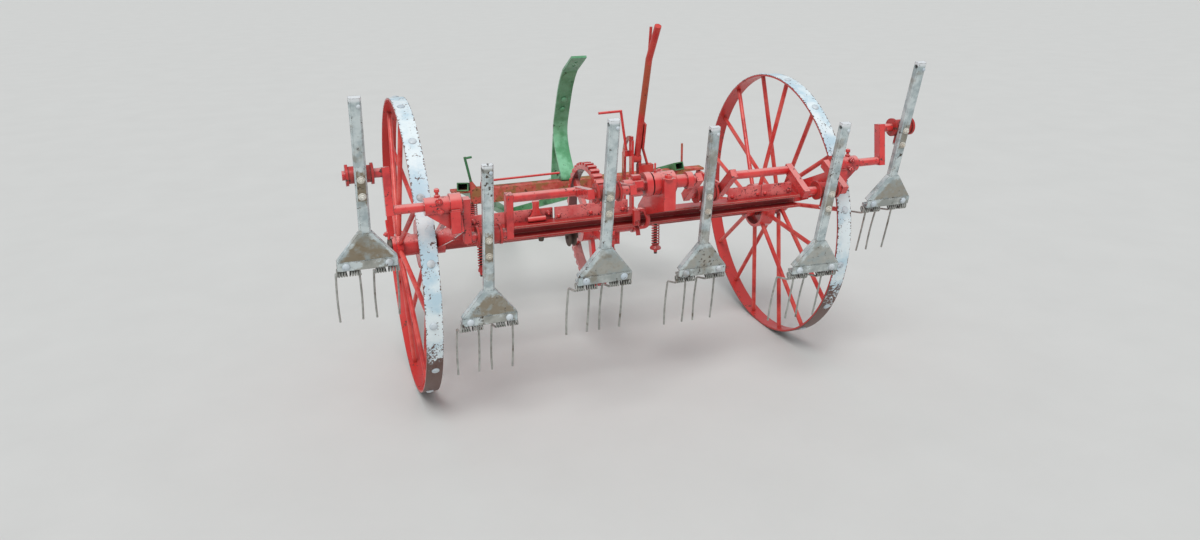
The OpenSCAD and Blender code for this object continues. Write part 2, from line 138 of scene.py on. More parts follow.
def grid_surface(points: np.ndarray) -> Surface:
    """Closes a grid of rings into a surface whose two ends are capped by fans of triangles.

    Face (i, j) joins the points (i, j), (i, j+1), (i+1, j+1) and (i+1, j), with j running round the ring. The
    rings turn anticlockwise about the direction in which i grows, so the faces point outwards.

    Args:
        points: an array of rings by points by 3.

    Returns:
        A closed surface.
    """
    rings, sides, _ = points.shape
    index = np.arange(rings * sides).reshape(rings, sides)
    after = np.roll(index, -1, axis=1)
    quads = np.stack([index[:-1], after[:-1], after[1:], index[1:]], axis=-1).reshape(-1, 4)
    first, last = rings * sides, rings * sides + 1
    start = np.stack([np.full(sides, first), after[0], index[0]], axis=-1)
    end = np.stack([np.full(sides, last), index[-1], after[-1]], axis=-1)
    middles = np.stack([points[0].mean(axis=0), points[-1].mean(axis=0)])
    return Surface(np.concatenate([points.reshape(-1, 3), middles]), quads, np.concatenate([start, end]))


def turned(profile: np.ndarray, sides: int) -> np.ndarray:
    """Turns a profile about Z: the point (a, r) becomes (r cos t, r sin t, a) for t from 0 to a full turn.

    Args:
        profile: rows of height and radius.
        sides: number of points round the axis.

    Returns:
        An array of rows by sides by 3.
    """
    turn = np.linspace(0.0, 2.0 * math.pi, sides, endpoint=False)
    height = np.broadcast_to(profile[:, :1], (len(profile), sides))
    return np.stack([profile[:, 1:] * np.cos(turn), profile[:, 1:] * np.sin(turn), height], axis=-1)


def revolved(profile: np.ndarray, sides: int) -> Surface:
    """A turned profile, closed at both ends, with rows from the bottom to the top along the outside."""
    return grid_surface(turned(profile, sides))


def hoop(outline: np.ndarray, sides: int) -> Surface:
    """Turns a closed outline about Z, so that the ring stays open in the middle.

    Args:
        outline: rows of height and radius: bottom inside, bottom outside, top outside, top inside.
        sides: number of faces round the axis.

    Returns:
        A closed ring.
    """
    points = turned(outline, sides)
    index = np.arange(points.shape[0] * sides).reshape(-1, sides)
    after, above = np.roll(index, -1, axis=1), np.roll(index, -1, axis=0)
    quads = np.stack([index, after, np.roll(above, -1, axis=1), above], axis=-1).reshape(-1, 4)
    return Surface(points.reshape(-1, 3), quads, np.zeros((0, 3), dtype=int))


def tube(path: np.ndarray, radius: float | np.ndarray, sides: int, across: np.ndarray) -> Surface:
    """Carries a circle along a path: ring point = path + r (n cos t + b sin t), with b = path x n.

    Args:
        path: rows of points.
        radius: one radius, or one for each point.
        sides: number of faces round the path.
        across: a direction that the path is never parallel to. The direction n is square to it and the path.

    Returns:
        A closed surface.
    """
    run = unit(np.gradient(path, axis=0))
    normal = unit(np.cross(run, across))
    binormal = np.cross(run, normal)
    turn = np.linspace(0.0, 2.0 * math.pi, sides, endpoint=False)[None, :, None]
    radii = np.broadcast_to(np.asarray(radius, dtype=float), (len(path),))[:, None, None]
    rings = path[:, None] + radii * (normal[:, None] * np.cos(turn) + binormal[:, None] * np.sin(turn))
    return grid_surface(rings)


BAR_SIDES = 28
BAR_SQUARENESS = 0.35


def squared(wave: np.ndarray) -> np.ndarray:
    """A cosine or sine made nearly square: its size to the power 0.35, with its sign kept."""
    return (np.sign(wave) * np.abs(wave) ** BAR_SQUARENESS)[None, :, None]


def ribbon(
    path: np.ndarray, width: float | np.ndarray, thick: float | np.ndarray, across: np.ndarray
) -> Surface:
    """Carries a flat bar's section along a path: ring point = path + w/2 C a + h/2 S n.

    C and S are the squared cosine and sine of the turn. The direction a is the one given, and n is square
    to it and to the path.

    Args:
        path: rows of points.
        width: size of the section in the direction across, one or one for each point.
        thick: size of the section square to it, one or one for each point.
        across: the direction of the width, never parallel to the path.

    Returns:
        A closed surface.
    """
    run = unit(np.gradient(path, axis=0))
    side = unit(across - (run @ across)[:, None] * run)
    normal = np.cross(run, side)
    turn = np.linspace(0.0, 2.0 * math.pi, BAR_SIDES, endpoint=False)
    half = np.broadcast_to(np.asarray(width, dtype=float), (len(path),))[:, None, None] / 2.0
    deep = np.broadcast_to(np.asarray(thick, dtype=float), (len(path),))[:, None, None] / 2.0
    beside = half * squared(np.cos(turn)) * side[:, None]
    return grid_surface(path[:, None] + beside + deep * squared(np.sin(turn)) * normal[:, None])


def facing(origins: np.ndarray, directions: np.ndarray) -> np.ndarray:
    """Returns matrices that put Z along each direction: x = unit(h x z), y = z x x, with h off the direction.

    Args:
        origins: K rows of points.
        directions: K rows of directions.

    Returns:
        An array of K 4 by 4 matrices.
    """
    up = unit(np.asarray(directions, dtype=float))
    hint = np.where(np.abs(up[:, 2:]) > 0.9, np.array([[0.0, 1.0, 0.0]]), np.array([[0.0, 0.0, 1.0]]))
    side = unit(np.cross(hint, up))
    matrices = np.tile(np.eye(4), (len(up), 1, 1))
    matrices[:, :3, 0] = side
    matrices[:, :3, 1] = np.cross(up, side)
    matrices[:, :3, 2] = up
    matrices[:, :3, 3] = origins
    return matrices


def along(direction: tuple[float, float, float], places: np.ndarray) -> np.ndarray:
    """Matrices that put Z along one direction at each of the places."""
    return facing(places, np.tile(direction, (len(places), 1)))


SINK = 1.5


def dome(radius: float, height: float) -> Surface:
    """A round head: a short rim, then r = R cos s and a = rim + (H - rim) sin s, with s from 0 upwards.

    Args:
        radius: radius at the rim.
        height: height of the head.

    Returns:
        A head that stands on Z and is sunk a little into what carries it.
    """
    arc = np.linspace(0.0, 1.45, 7)
    rim = height * 0.18
    top = np.stack([rim + (height - rim) * np.sin(arc), radius * np.cos(arc)], axis=-1)
    return revolved(np.concatenate([[[-SINK, radius]], top]), 18)


def nut(across: float, height: float, sides: int) -> Surface:
    """A nut or bolt head with chamfered corners, a washer below it and a bolt end that stands out of it.

    Args:
        across: width across the flats.
        height: height of the nut.
        sides: number of flats.

    Returns:
        A nut that stands on Z and whose washer is sunk a little into what carries it.
    """
    corner = across / 2.0 / math.cos(math.pi / sides)
    head = revolved(np.array([[0.0, corner], [height * 0.85, corner], [height, corner * 0.86]]), sides)
    washer = revolved(np.array([[-SINK, across * 0.72], [1.6, across * 0.72], [2.4, across * 0.66]]), 20)
    shank = across * 0.27
    end = np.array([[height - 1.0, shank], [height + 3.5, shank], [height + 4.6, across * 0.2]])
    return joined([washer, head, revolved(end, 14)])


def slab(sheet: np.ndarray, quads: np.ndarray, normals: np.ndarray, thick: float) -> Surface:
    """Thickens an open sheet by half the thickness out and half in, with a side face at each open edge.

    An edge a to b of a face is open where no face has the edge b to a.

    Args:
        sheet: rows of points, which may hold doubles where patches meet.
        quads: faces of the sheet, anticlockwise as seen from outside.
        normals: the outward direction at each point.
        thick: thickness in millimetres.

    Returns:
        A closed surface.
    """
    _, first, back = np.unique(np.round(sheet, 3), axis=0, return_index=True, return_inverse=True)
    points, faces, out = sheet[first], back.reshape(-1)[quads], normals[first] * thick / 2.0
    count = len(points)
    edges = np.stack([faces, np.roll(faces, -1, axis=1)], axis=-1).reshape(-1, 2)
    lone = ~np.isin(edges[:, 0] * count + edges[:, 1], edges[:, 1] * count + edges[:, 0])
    start, end = edges[lone, 0], edges[lone, 1]
    sides = np.stack([end, start, start + count, end + count], axis=-1)
    shell = np.concatenate([faces, faces[:, ::-1] + count, sides])
    return Surface(np.concatenate([points + out, points - out]), shell, np.zeros((0, 3), dtype=int))


def patch(first: np.ndarray, last: np.ndarray, rows: int) -> tuple[np.ndarray, np.ndarray]:
    """A patch between two lines of as many points: (i, j) = first j + (last j - first j) i / (rows - 1).

    Args:
        first: one line of points.
        last: the other line.
        rows: number of lines, with both ends.

    Returns:
        The points and the faces (i, j), (i, j+1), (i+1, j+1), (i+1, j).
    """
    share = np.linspace(0.0, 1.0, rows)[:, None, None]
    points = first[None] + (last - first)[None] * share
    index = np.arange(rows * len(first)).reshape(rows, len(first))
    faces = np.stack([index[:-1, :-1], index[:-1, 1:], index[1:, 1:], index[1:, :-1]], axis=-1).reshape(-1, 4)
    return points.reshape(-1, points.shape[-1]), faces


def helix(radius: float, start: float, stop: float, turns: float, first: float, steps: int) -> np.ndarray:
    """A coil about Z: (R cos t, R sin t, z), z growing evenly with t over the given number of turns.

    Args:
        radius: radius of the wire's middle.
        start: height of the first point.
        stop: height of the last point.
        turns: number of turns.
        first: angle of the first point, in radians.
        steps: number of points in a turn.

    Returns:
        Rows of points.
    """
    share = np.linspace(0.0, 1.0, int(turns * steps) + 1)
    turn = first + share * turns * 2.0 * math.pi
    return np.stack([radius * np.cos(turn), radius * np.sin(turn), start + (stop - start) * share], axis=-1)


def rounded_path(corners: np.ndarray, bend: float) -> np.ndarray:
    """A line through corners, each rounded by the curve (1-t)^2 a + 2t(1-t) c + t^2 b about its corner c.

    Args:
        corners: rows of points.
        bend: distance before and after a corner at which the turn starts and ends.

    Returns:
        Rows of points.
    """
    inner = corners[1:-1]
    before = inner + unit(corners[:-2] - inner) * bend
    after = inner + unit(corners[2:] - inner) * bend
    share = np.linspace(0.0, 1.0, 9)[None, :, None]
    ends = (1 - share) ** 2 * before[:, None] + share**2 * after[:, None]
    arcs = ends + 2 * share * (1 - share) * inner[:, None]
    return np.concatenate([corners[:1], arcs.reshape(-1, 3), corners[-1:]])


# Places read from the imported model


def joint_place(name: str) -> np.ndarray:
    """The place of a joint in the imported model, in millimetres."""
    joint = next(joint for joint in frame["joints"] if joint["name"] == name)
    return np.array(joint["pos_m"]) * 1000.0


@dataclass(frozen=True)
class Drawing:
    """The machine's own frame, found from the joints of its axle, its right wheel and its crank."""

    axle: np.ndarray
    wheel: np.ndarray
    crank: np.ndarray

    @property
    def origin(self) -> np.ndarray:
        """The point on the floor below the middle of the axle."""
        return self.axle * [1.0, 1.0, 0.0]

    @property
    def axle_z(self) -> float:
        """The height of the axle, which is also the wheels' radius, because they stand on the floor."""
        return float(self.axle[2])

    @property
    def wheel_x(self) -> float:
        """The place of the right wheel along the axle."""
        return float((self.wheel - self.origin)[0])

    @property
    def crank_y(self) -> float:
        """The place of the crank line behind the axle."""
        return float((self.crank - self.origin)[1])

    @property
    def crank_z(self) -> float:
        """The height of the crank line."""
        return float(self.crank[2])

    def matrix(self) -> np.ndarray:
        """The matrix from millimetres in the machine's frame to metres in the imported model."""
        matrix = np.diag([0.001, 0.001, 0.001, 1.0])
        matrix[:3, 3] = self.origin / 1000.0
        return matrix

    def point(self, place: np.ndarray) -> np.ndarray:
        """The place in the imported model, in metres, of a point in millimetres."""
        return (np.asarray(place) + self.origin) / 1000.0


DRAWING = Drawing(joint_place("axle_turn"), joint_place("wheel_right_turn"), joint_place("crank_turn"))
ALONG_X = np.array([1.0, 0.0, 0.0])
ALONG_Y = np.array([0.0, 1.0, 0.0])
ALONG_Z = np.array([0.0, 0.0, 1.0])
TO_REAR = (0.0, -1.0, 0.0)
UPWARD = (0.0, 0.0, 1.0)
AXIS_X = (1.0, 0.0, 0.0)


def lifted(place: Place) -> np.ndarray:
    """A matrix that moves by a place and turns nothing."""
    matrix = np.eye(4)
    matrix[:3, 3] = place
    return matrix


def make_piece(
    name: str, surface: Surface, material: bpy.types.Material, body: str
) -> bpy.types.Object:
    """Makes an object at the origin from a surface in millimetres, and lets it ride on a body.

    Args:
        name: name of the piece.
        surface: its surface in the machine's frame.
        material: its finish.
        body: the CAD body that carries it.

    Returns:
        The new object.
    """
    placed = surface.moved(DRAWING.matrix())
    mesh = bpy.data.meshes.new(name)
    mesh.from_pydata(placed.points.tolist(), [], placed.quads.tolist() + placed.tris.tolist())
    mesh.update()
    mesh.shade_smooth()
    mesh.set_sharp_from_angle(angle=math.radians(38.0))
    mesh.materials.append(material)
    piece = bpy.data.objects.new(name, mesh)
    bpy.context.scene.collection.objects.link(piece)
    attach(piece, body)
    LOG.info("piece %s rides on %s: %d points", name, body, len(placed.points))
    return piece


# Finishes


Socket = bpy.types.NodeSocket
Feed = Socket | float | tuple[float, ...]


class Tree:
    """Short ways to add nodes to a material or a group."""

    def __init__(self, tree: bpy.types.NodeTree) -> None:
        """Keeps the node tree."""
        self.tree = tree

    def put(self, socket: Socket, value: Feed) -> None:
        """Links a socket to another, or sets its value."""
        if isinstance(value, Socket):
            self.tree.links.new(value, socket)
        else:
            socket.default_value = value

    def node(self, kind: str, **inputs: Feed) -> bpy.types.Node:
        """Adds a node and sets or links its inputs.

        Args:
            kind: Blender's name of the node type.
            **inputs: values or sockets, by the socket's name with underscores for spaces.

        Returns:
            The node.
        """
        made = self.tree.nodes.new(kind)
        for name, value in inputs.items():
            self.put(made.inputs[name.replace("_", " ")], value)
        return made

    def math(self, operation: str, first: Feed, second: Feed = 0.0, clamp: bool = False) -> Socket:
        """Adds an operation on two numbers.

        Args:
            operation: Blender's name of the operation.
            first: the first number.
            second: the second number.
            clamp: whether the result is kept between 0 and 1.

        Returns:
            The result's socket.
        """
        made = self.tree.nodes.new("ShaderNodeMath")
        made.operation = operation
        made.use_clamp = clamp
        self.put(made.inputs[0], first)
        self.put(made.inputs[1], second)
        return made.outputs[0]

    def plus(self, first: Feed, second: Feed, clamp: bool = False) -> Socket:
        """Adds a sum."""
        return self.math("ADD", first, second, clamp)

    def less(self, first: Feed, second: Feed) -> Socket:
        """Adds a difference."""
        return self.math("SUBTRACT", first, second)

    def times(self, first: Feed, second: Feed, clamp: bool = False) -> Socket:
        """Adds a product."""
        return self.math("MULTIPLY", first, second, clamp)

    def most(self, first: Feed, second: Feed, clamp: bool = False) -> Socket:
        """Adds the larger of two numbers."""
        return self.math("MAXIMUM", first, second, clamp)

    def flip(self, value: Feed) -> Socket:
        """Adds 1 less the value."""
        return self.less(1.0, value)

    def size(self, value: Feed) -> Socket:
        """Adds the value without its sign."""
        return self.math("ABSOLUTE", value)

    def vector(self, operation: str, first: Feed, second: Feed) -> bpy.types.Node:
        """Adds an operation on two vectors.

        Args:
            operation: Blender's name of the operation.
            first: the first vector.
            second: the second vector.

        Returns:
            The node.
        """
        made = self.tree.nodes.new("ShaderNodeVectorMath")
        made.operation = operation
        self.put(made.inputs[0], first)
        self.put(made.inputs[1], second)
        return made

    def share_along(self, place: Feed, direction: Feed) -> Socket:
        """Adds the part of a vector that lies in a direction."""
        return self.vector("DOT_PRODUCT", place, direction).outputs["Value"]

    def length(self, place: Feed) -> Socket:
        """Adds the length of a vector."""
        return self.vector("LENGTH", place, (0.0, 0.0, 0.0)).outputs["Value"]

    def place(self) -> Socket:
        """Adds the point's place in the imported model, in metres."""
        return self.node("ShaderNodeTexCoord").outputs["Object"]

    def normal(self) -> Socket:
        """Adds the face's outward direction."""
        return self.node("ShaderNodeNewGeometry").outputs["Normal"]

    def step(self, value: Feed, low: Feed, high: Feed) -> Socket:
        """Adds a smooth change from 0 at low to 1 at high.

        Args:
            value: the number that is looked at.
            low: where the result is 0.
            high: where the result is 1.

        Returns:
            The result's socket.
        """
        made = self.tree.nodes.new("ShaderNodeMapRange")
        made.interpolation_type = "SMOOTHSTEP"
        self.put(made.inputs["Value"], value)
        self.put(made.inputs["From Min"], low)
        self.put(made.inputs["From Max"], high)
        return made.outputs["Result"]

    def mix(self, share: Feed, first: Feed, second: Feed) -> Socket:
        """Adds a mix of two colours.

        Args:
            share: the second colour's share.
            first: the first colour.
            second: the second colour.

        Returns:
            The colour's socket.
        """
        made = self.tree.nodes.new("ShaderNodeMix")
        made.data_type = "RGBA"
        self.put(made.inputs[0], share)
        self.put(made.inputs[6], first)
        self.put(made.inputs[7], second)
        return made.outputs[2]

    def blend(self, share: Feed, first: Feed, second: Feed) -> Socket:
        """Adds a mix of two numbers.

        Args:
            share: the second number's share.
            first: the first number.
            second: the second number.

        Returns:
            The number's socket.
        """
        made = self.tree.nodes.new("ShaderNodeMix")
        made.data_type = "FLOAT"
        self.put(made.inputs[0], share)
        self.put(made.inputs[2], first)
        self.put(made.inputs[3], second)
        return made.outputs[0]

    def noise(self, place: Feed, scale: Feed, detail: float = 4.0, rough: float = 0.6) -> Socket:
        """Adds a cloudy pattern between 0 and 1.

        Args:
            place: the point's place.
            scale: how fine the pattern is.
            detail: number of finer layers.
            rough: strength of the finer layers.

        Returns:
            The pattern's socket.
        """
        made = self.node("ShaderNodeTexNoise", Vector=place, Scale=scale, Detail=detail, Roughness=rough)
        return made.outputs["Fac"]


def new_group(
    name: str, inputs: dict[str, float], outputs: dict[str, str]
) -> tuple[Tree, bpy.types.Node, bpy.types.Node]:
    """Makes an empty shader group with its sockets.

    Args:
        name: name of the group.
        inputs: names and first values of its numbers.
        outputs: names and socket types of what it puts out.

    Returns:
        The tree helper, the group's input node and its output node.
    """
    group = bpy.data.node_groups.new(name, "ShaderNodeTree")
    for title, value in inputs.items():
        socket = group.interface.new_socket(title, in_out="INPUT", socket_type="NodeSocketFloat")
        socket.default_value = value
    for title, kind in outputs.items():
        group.interface.new_socket(title, in_out="OUTPUT", socket_type=kind)
    tree = Tree(group)
    return tree, group.nodes.new("NodeGroupInput"), group.nodes.new("NodeGroupOutput")


WEAR_INPUTS = {
    "Seed": 0.0,
    "Chip Scale": 90.0,
    "Chips": 0.3,
    "Edge Radius": 0.0025,
    "Edges": 0.5,
    "Stain Scale": 6.0,
    "Stains": 0.4,
}
WEAR_OUTPUTS = {
    "Chip": "NodeSocketFloat",
    "Stain": "NodeSocketFloat",
    "Cloud": "NodeSocketFloat",
    "Fine": "NodeSocketFloat",
    "Hollow Shade": "NodeSocketFloat",
    "Height": "NodeSocketFloat",
    "Normal": "NodeSocketVector",
}


@dataclass(frozen=True)
class WearLimits:
    """Where the wear's patterns become chips, bare edges, stains, and dirt with painted shade in hollows,
    with the width of each border.
    """

    fine_share: float = 0.62
    coarse_scale: float = 0.18
    chip_start: float = 0.68
    chip_gain: float = 0.21
    chip_border: float = 0.035
    corner: tuple[float, float] = (0.012, 0.11)
    edge_start: float = 0.46
    edge_gain: float = 0.3
    edge_border: float = 0.05
    stain_start: float = 0.66
    stain_gain: float = 0.3
    stain_border: float = 0.12
    cloud_scale: float = 2.6
    # hollow_reach, hollow and hollow_spread set the painted shade in hollows, which comes from ambient
    # occlusion.
    hollow_reach: float = 0.07
    hollow: tuple[float, float] = (0.18, 0.8)
    hollow_spread: tuple[float, float] = (0.55, 1.45)


def wear_and_shade_group(limits: WearLimits) -> bpy.types.NodeTree:
    """Builds the shared wear: chips, worn edges, stains, faded clouds, dirt and painted shade in hollows, a
    relief and soft corners.

    A chip stands where a fine pattern passes a limit. An edge is where the normal of the softened corner
    leaves the true normal: wear = 1 - softened . true, broken up by the same pattern.

    Args:
        limits: where each pattern starts to show.

    Returns:
        The group.
    """
    tree, given, out = new_group("wear_and_shade", WEAR_INPUTS, WEAR_OUTPUTS)
    put_in = given.outputs
    seed = tree.node("ShaderNodeCombineXYZ", X=put_in["Seed"], Y=put_in["Seed"], Z=put_in["Seed"])
    place = tree.vector("ADD", tree.place(), seed.outputs[0]).outputs[0]
    fine = tree.noise(place, put_in["Chip Scale"], 5.0, 0.65)
    coarse = tree.noise(place, tree.times(put_in["Chip Scale"], limits.coarse_scale), 3.0, 0.6)
    both = tree.plus(tree.times(fine, limits.fine_share), tree.times(coarse, 1.0 - limits.fine_share))
    start = tree.less(limits.chip_start, tree.times(put_in["Chips"], limits.chip_gain))
    open_chip = tree.step(both, start, tree.plus(start, limits.chip_border))
    soft = tree.node("ShaderNodeBevel", Radius=put_in["Edge Radius"])
    soft.samples = 4
    corner = tree.flip(tree.share_along(soft.outputs[0], tree.normal()))
    broken = tree.times(tree.step(corner, *limits.corner), tree.plus(both, -0.2))
    start = tree.less(limits.edge_start, tree.times(put_in["Edges"], limits.edge_gain))
    edge_chip = tree.step(broken, start, tree.plus(start, limits.edge_border))
    chip = tree.most(open_chip, edge_chip, clamp=True)
    wide = tree.noise(place, put_in["Stain Scale"], 5.0, 0.62)
    start = tree.less(limits.stain_start, tree.times(put_in["Stains"], limits.stain_gain))
    stain = tree.step(wide, start, tree.plus(start, limits.stain_border))
    cloud = tree.noise(place, tree.times(put_in["Stain Scale"], limits.cloud_scale), 6.0, 0.6)
    # Painted shade: ambient occlusion darkens hollows, corners and the gaps between parts, and the broad
    # pattern varies it.
    shade = tree.node("ShaderNodeAmbientOcclusion", Distance=limits.hollow_reach)
    shade.samples = 6
    hollow = tree.step(tree.flip(shade.outputs["AO"]), *limits.hollow)
    tree.put(out.inputs["Chip"], chip)
    tree.put(out.inputs["Stain"], stain)
    tree.put(out.inputs["Cloud"], cloud)
    tree.put(out.inputs["Fine"], fine)
    tree.put(out.inputs["Hollow Shade"], tree.times(hollow, tree.blend(wide, *limits.hollow_spread), clamp=True))
    tree.put(out.inputs["Height"], tree.less(tree.times(fine, 0.5), chip))
    tree.put(out.inputs["Normal"], soft.outputs[0])
    return tree.tree


WEAR_AND_SHADE = wear_and_shade_group(WearLimits())


class Cover(Enum):
    """What a paint keeps to, apart from its own wear."""

    ALL_OVER = "all over"
    TREAD = "the outside of a tyre, with the other paint inside"
    FORK = "an arm and foot, stained on their rear faces, with a red hub"
    RAIL = "a rusty rail whose upright pin keeps another paint"
    LEVER = "a lever that hands have worn brown below its grip"
    # The leaf's darker upper half is painted shade.
    LEAF = "a leaf whose upper half has kept its darker paint"
    GEAR = "a ring whose inner face is dark"


@dataclass(frozen=True)
class TreadMarks:
    """Where a tyre's brown edge starts, how ragged it is, and how far in the pale paint reaches."""

    edge: tuple[float, float] = (0.0258, 0.0272)
    edge_shake: float = 0.042
    foot_cloud: float = 0.5
    foot_fine: float = 0.45
    foot_border: float = 0.03
    rim_shake: float = 0.003
    rim: tuple[float, float] = (-0.0022, -0.0012)


@dataclass(frozen=True)
class ForkMarks:
    """Where a fork is rubbed, stained and red, in metres from its crank pin."""

    rear: tuple[float, float] = (0.8, 0.95)
    nuts_below: float = 0.018
    nuts: tuple[float, float] = (0.042, 0.056)
    nuts_share: tuple[float, float] = (0.45, 0.95)
    foot_from: float = 0.166
    foot_slope: float = -0.789
    foot_half: float = 0.017
    foot_border: tuple[float, float] = (0.004, 0.014)
    foot_top: tuple[float, float] = (-0.192, -0.178)
    strip_top: tuple[float, float] = (-0.256, -0.254)
    foot_share: tuple[float, float] = (0.35, 0.95)
    strip: tuple[float, float] = (0.035, 0.06)
    strip_share: float = 0.55
    cap: tuple[float, float] = (0.236, 0.246)
    cap_colour: Colour = srgb(228, 232, 234)
    hub_front: tuple[float, float] = (-0.0318, -0.0314)
    hub_reach: tuple[float, float] = (0.052, 0.05)
    shake_cloud: float = 0.06
    shake_fine: float = 0.05
    nuts_cloud: tuple[float, float] = (0.36, 0.5)
    foot_ragged: float = 0.03
    foot_cloud: tuple[float, float] = (0.34, 0.56)
    strip_ragged: float = 0.25


@dataclass(frozen=True)
class CoverMarks:
    """Where the rail's pin, the leaf's painted shade on its upper half, the lever's worn band and the ring's
    inner face lie.
    """

    pin_foot: tuple[float, float] = (0.664, 0.668)
    pin_side: tuple[float, float] = (-0.3, -0.35)
    leaf: tuple[float, float] = (0.8, 0.95)
    leaf_shade_share: float = 0.45
    lever_low: tuple[float, float] = (0.95, 1.0)
    lever_high: tuple[float, float] = (1.19, 1.13)
    lever_shake: float = 0.2
    lever_share: float = 0.8
    ring_inward: tuple[float, float] = (-0.5, -0.8)
    ring_radius: tuple[float, float] = (0.17, 0.19)
    ring_share: float = 0.85


TREAD_MARKS = TreadMarks()
FORK_MARKS = ForkMarks()
COVER_MARKS = CoverMarks()


@dataclass(frozen=True)
class Paint:
    """A worn paint: its colour, where it has faded, what stains it, what shows where it has come off, and its
    painted shade and highlight.
    """

    name: str
    colour: Colour
    faded: Colour
    stained: Colour
    bare: Colour
    roughness: float = 0.42
    metal: float = 0.0
    coat: float = 0.12
    coat_roughness: float = 0.16
    bare_roughness: float = 0.78
    chip_scale: float = 90.0
    chips: float = 0.25
    edges: float = 0.5
    edge_radius: float = 0.0025
    stain_scale: float = 6.0
    stains: float = 0.35
    relief: float = 0.0006
    cover: Cover = Cover.ALL_OVER
    inner: Colour = (0.6, 0.03, 0.03, 1.0)
    stain_share: float = 0.85
    # Colour and share of the dirt and painted shade in hollows.
    dirt_and_shade: Colour = (0.036, 0.012, 0.01, 1.0)
    dirt_and_shade_share: float = 0.72
    rub: float = 0.8
    worn_below: float = -0.4
    # A painted highlight: the share by which faces turned to the sky mix towards a pale colour.
    highlight_share: float = 0.0
    highlight_colour: Colour = (0.86, 0.34, 0.31, 1.0)
    sky: Place = (0.0, -0.3, 0.95)
    sky_limits: tuple[float, float] = (0.7, 0.99)
    sky_spread: tuple[float, float] = (0.4, 1.6)
    fade: tuple[float, float] = (0.36, 0.62)
    stain_rough: float = 0.18
    cloud_rough: float = 0.2
    relief_strength: float = 0.7

    def wear(self, tree: Tree, seed: float) -> bpy.types.Node:
        """Places the shared wear-and-shade group with this paint's values.

        Args:
            tree: the material's tree.
            seed: moves the pattern.

        Returns:
            The group's node.
        """
        made = tree.tree.nodes.new("ShaderNodeGroup")
        made.node_tree = WEAR_AND_SHADE
        values = (seed, self.chip_scale, self.chips, self.edge_radius, self.edges)
        for title, value in zip(WEAR_INPUTS, values + (self.stain_scale, self.stains)):
            made.inputs[title].default_value = value
        return made

    def tread(self, tree: Tree, wear: bpy.types.Node, colour: Feed, away: Feed) -> Socket:
        """Red inside the tyre, pale on its tread, with brown dots along both edges and a brown patch below.

        Args:
            tree: the material's tree.
            wear: the wear group in it.
            colour: the pale paint.
            away: the place counted from the middle of the wheel.

        Returns:
            The colour socket.
        """
        marks = TREAD_MARKS
        radius = tree.length(tree.vector("MULTIPLY", away, (0.0, 1.0, 1.0)).outputs[0])
        aside = tree.size(tree.share_along(away, AXIS_X))
        height = tree.share_along(away, UPWARD)
        fine = tree.less(wear.outputs["Fine"], 0.5)
        cloud = tree.less(wear.outputs["Cloud"], 0.5)
        border = tree.step(tree.plus(aside, tree.times(fine, marks.edge_shake)), *marks.edge)
        low = tree.plus(height, tree.times(cloud, marks.foot_cloud))
        low = tree.plus(low, tree.times(fine, marks.foot_fine))
        worn = tree.flip(tree.step(low, self.worn_below, self.worn_below + marks.foot_border))
        colour = tree.mix(tree.most(border, worn), colour, self.bare)
        ragged = tree.plus(radius, tree.times(cloud, marks.rim_shake))
        rim = DRAWING.axle_z / 1000.0
        outside = tree.step(ragged, rim + marks.rim[0], rim + marks.rim[1])
        return tree.mix(outside, self.inner, colour)

    def fork(self, tree: Tree, wear: bpy.types.Node, colour: Feed, away: Feed, axes: np.ndarray) -> Socket:
        """Red on the hub, rusty round the arm's two nuts, and brown inside a pale border on the foot.

        The foot's patch lies where |side| is less than a line that falls with the height, as the foot's
        flanks do: slope (up + from) + half.

        Args:
            tree: the material's tree.
            wear: the wear group in it.
            colour: the pale paint.
            away: the place counted from the crank pin.
            axes: the fork's own three directions, as columns.

        Returns:
            The colour socket.
        """
        marks = FORK_MARKS
        side, front, up = (tree.share_along(away, tuple(axes[:, k])) for k in range(3))
        aside = tree.size(side)
        rear = tree.step(tree.share_along(tree.normal(), tuple(-axes[:, 1])), *marks.rear)
        fine = tree.less(wear.outputs["Fine"], 0.5)
        cloud = tree.less(wear.outputs["Cloud"], 0.5)
        shake = tree.plus(tree.times(cloud, marks.shake_cloud), tree.times(fine, marks.shake_fine))
        from_nuts = tree.size(tree.plus(tree.plus(up, shake), marks.nuts_below))
        nuts = tree.flip(tree.step(from_nuts, *marks.nuts))
        often = tree.step(wear.outputs["Cloud"], *marks.nuts_cloud)
        nuts = tree.times(nuts, tree.blend(often, *marks.nuts_share))
        slant = tree.less(tree.times(tree.plus(up, marks.foot_from), marks.foot_slope), aside)
        slant = tree.plus(tree.plus(slant, marks.foot_half), tree.times(fine, marks.foot_ragged))
        below = tree.flip(tree.step(tree.plus(up, shake), *marks.foot_top))
        above = tree.step(up, *marks.strip_top)
        foot = tree.times(tree.times(tree.step(slant, *marks.foot_border), below), above)
        often = tree.step(wear.outputs["Cloud"], *marks.foot_cloud)
        foot = tree.times(foot, tree.blend(often, *marks.foot_share))
        ragged = tree.plus(aside, tree.times(cloud, marks.strip_ragged))
        strip = tree.flip(tree.step(ragged, *marks.strip))
        strip = tree.times(tree.times(strip, tree.flip(above)), marks.strip_share)
        rubbed = tree.times(tree.most(tree.most(nuts, foot), strip), rear)
        colour = tree.mix(tree.times(rubbed, self.rub), colour, self.stained)
        colour = tree.mix(tree.step(up, *marks.cap), colour, marks.cap_colour)
        hub = tree.times(tree.step(front, *marks.hub_front), tree.step(tree.size(up), *marks.hub_reach))
        return tree.mix(hub, colour, self.inner)

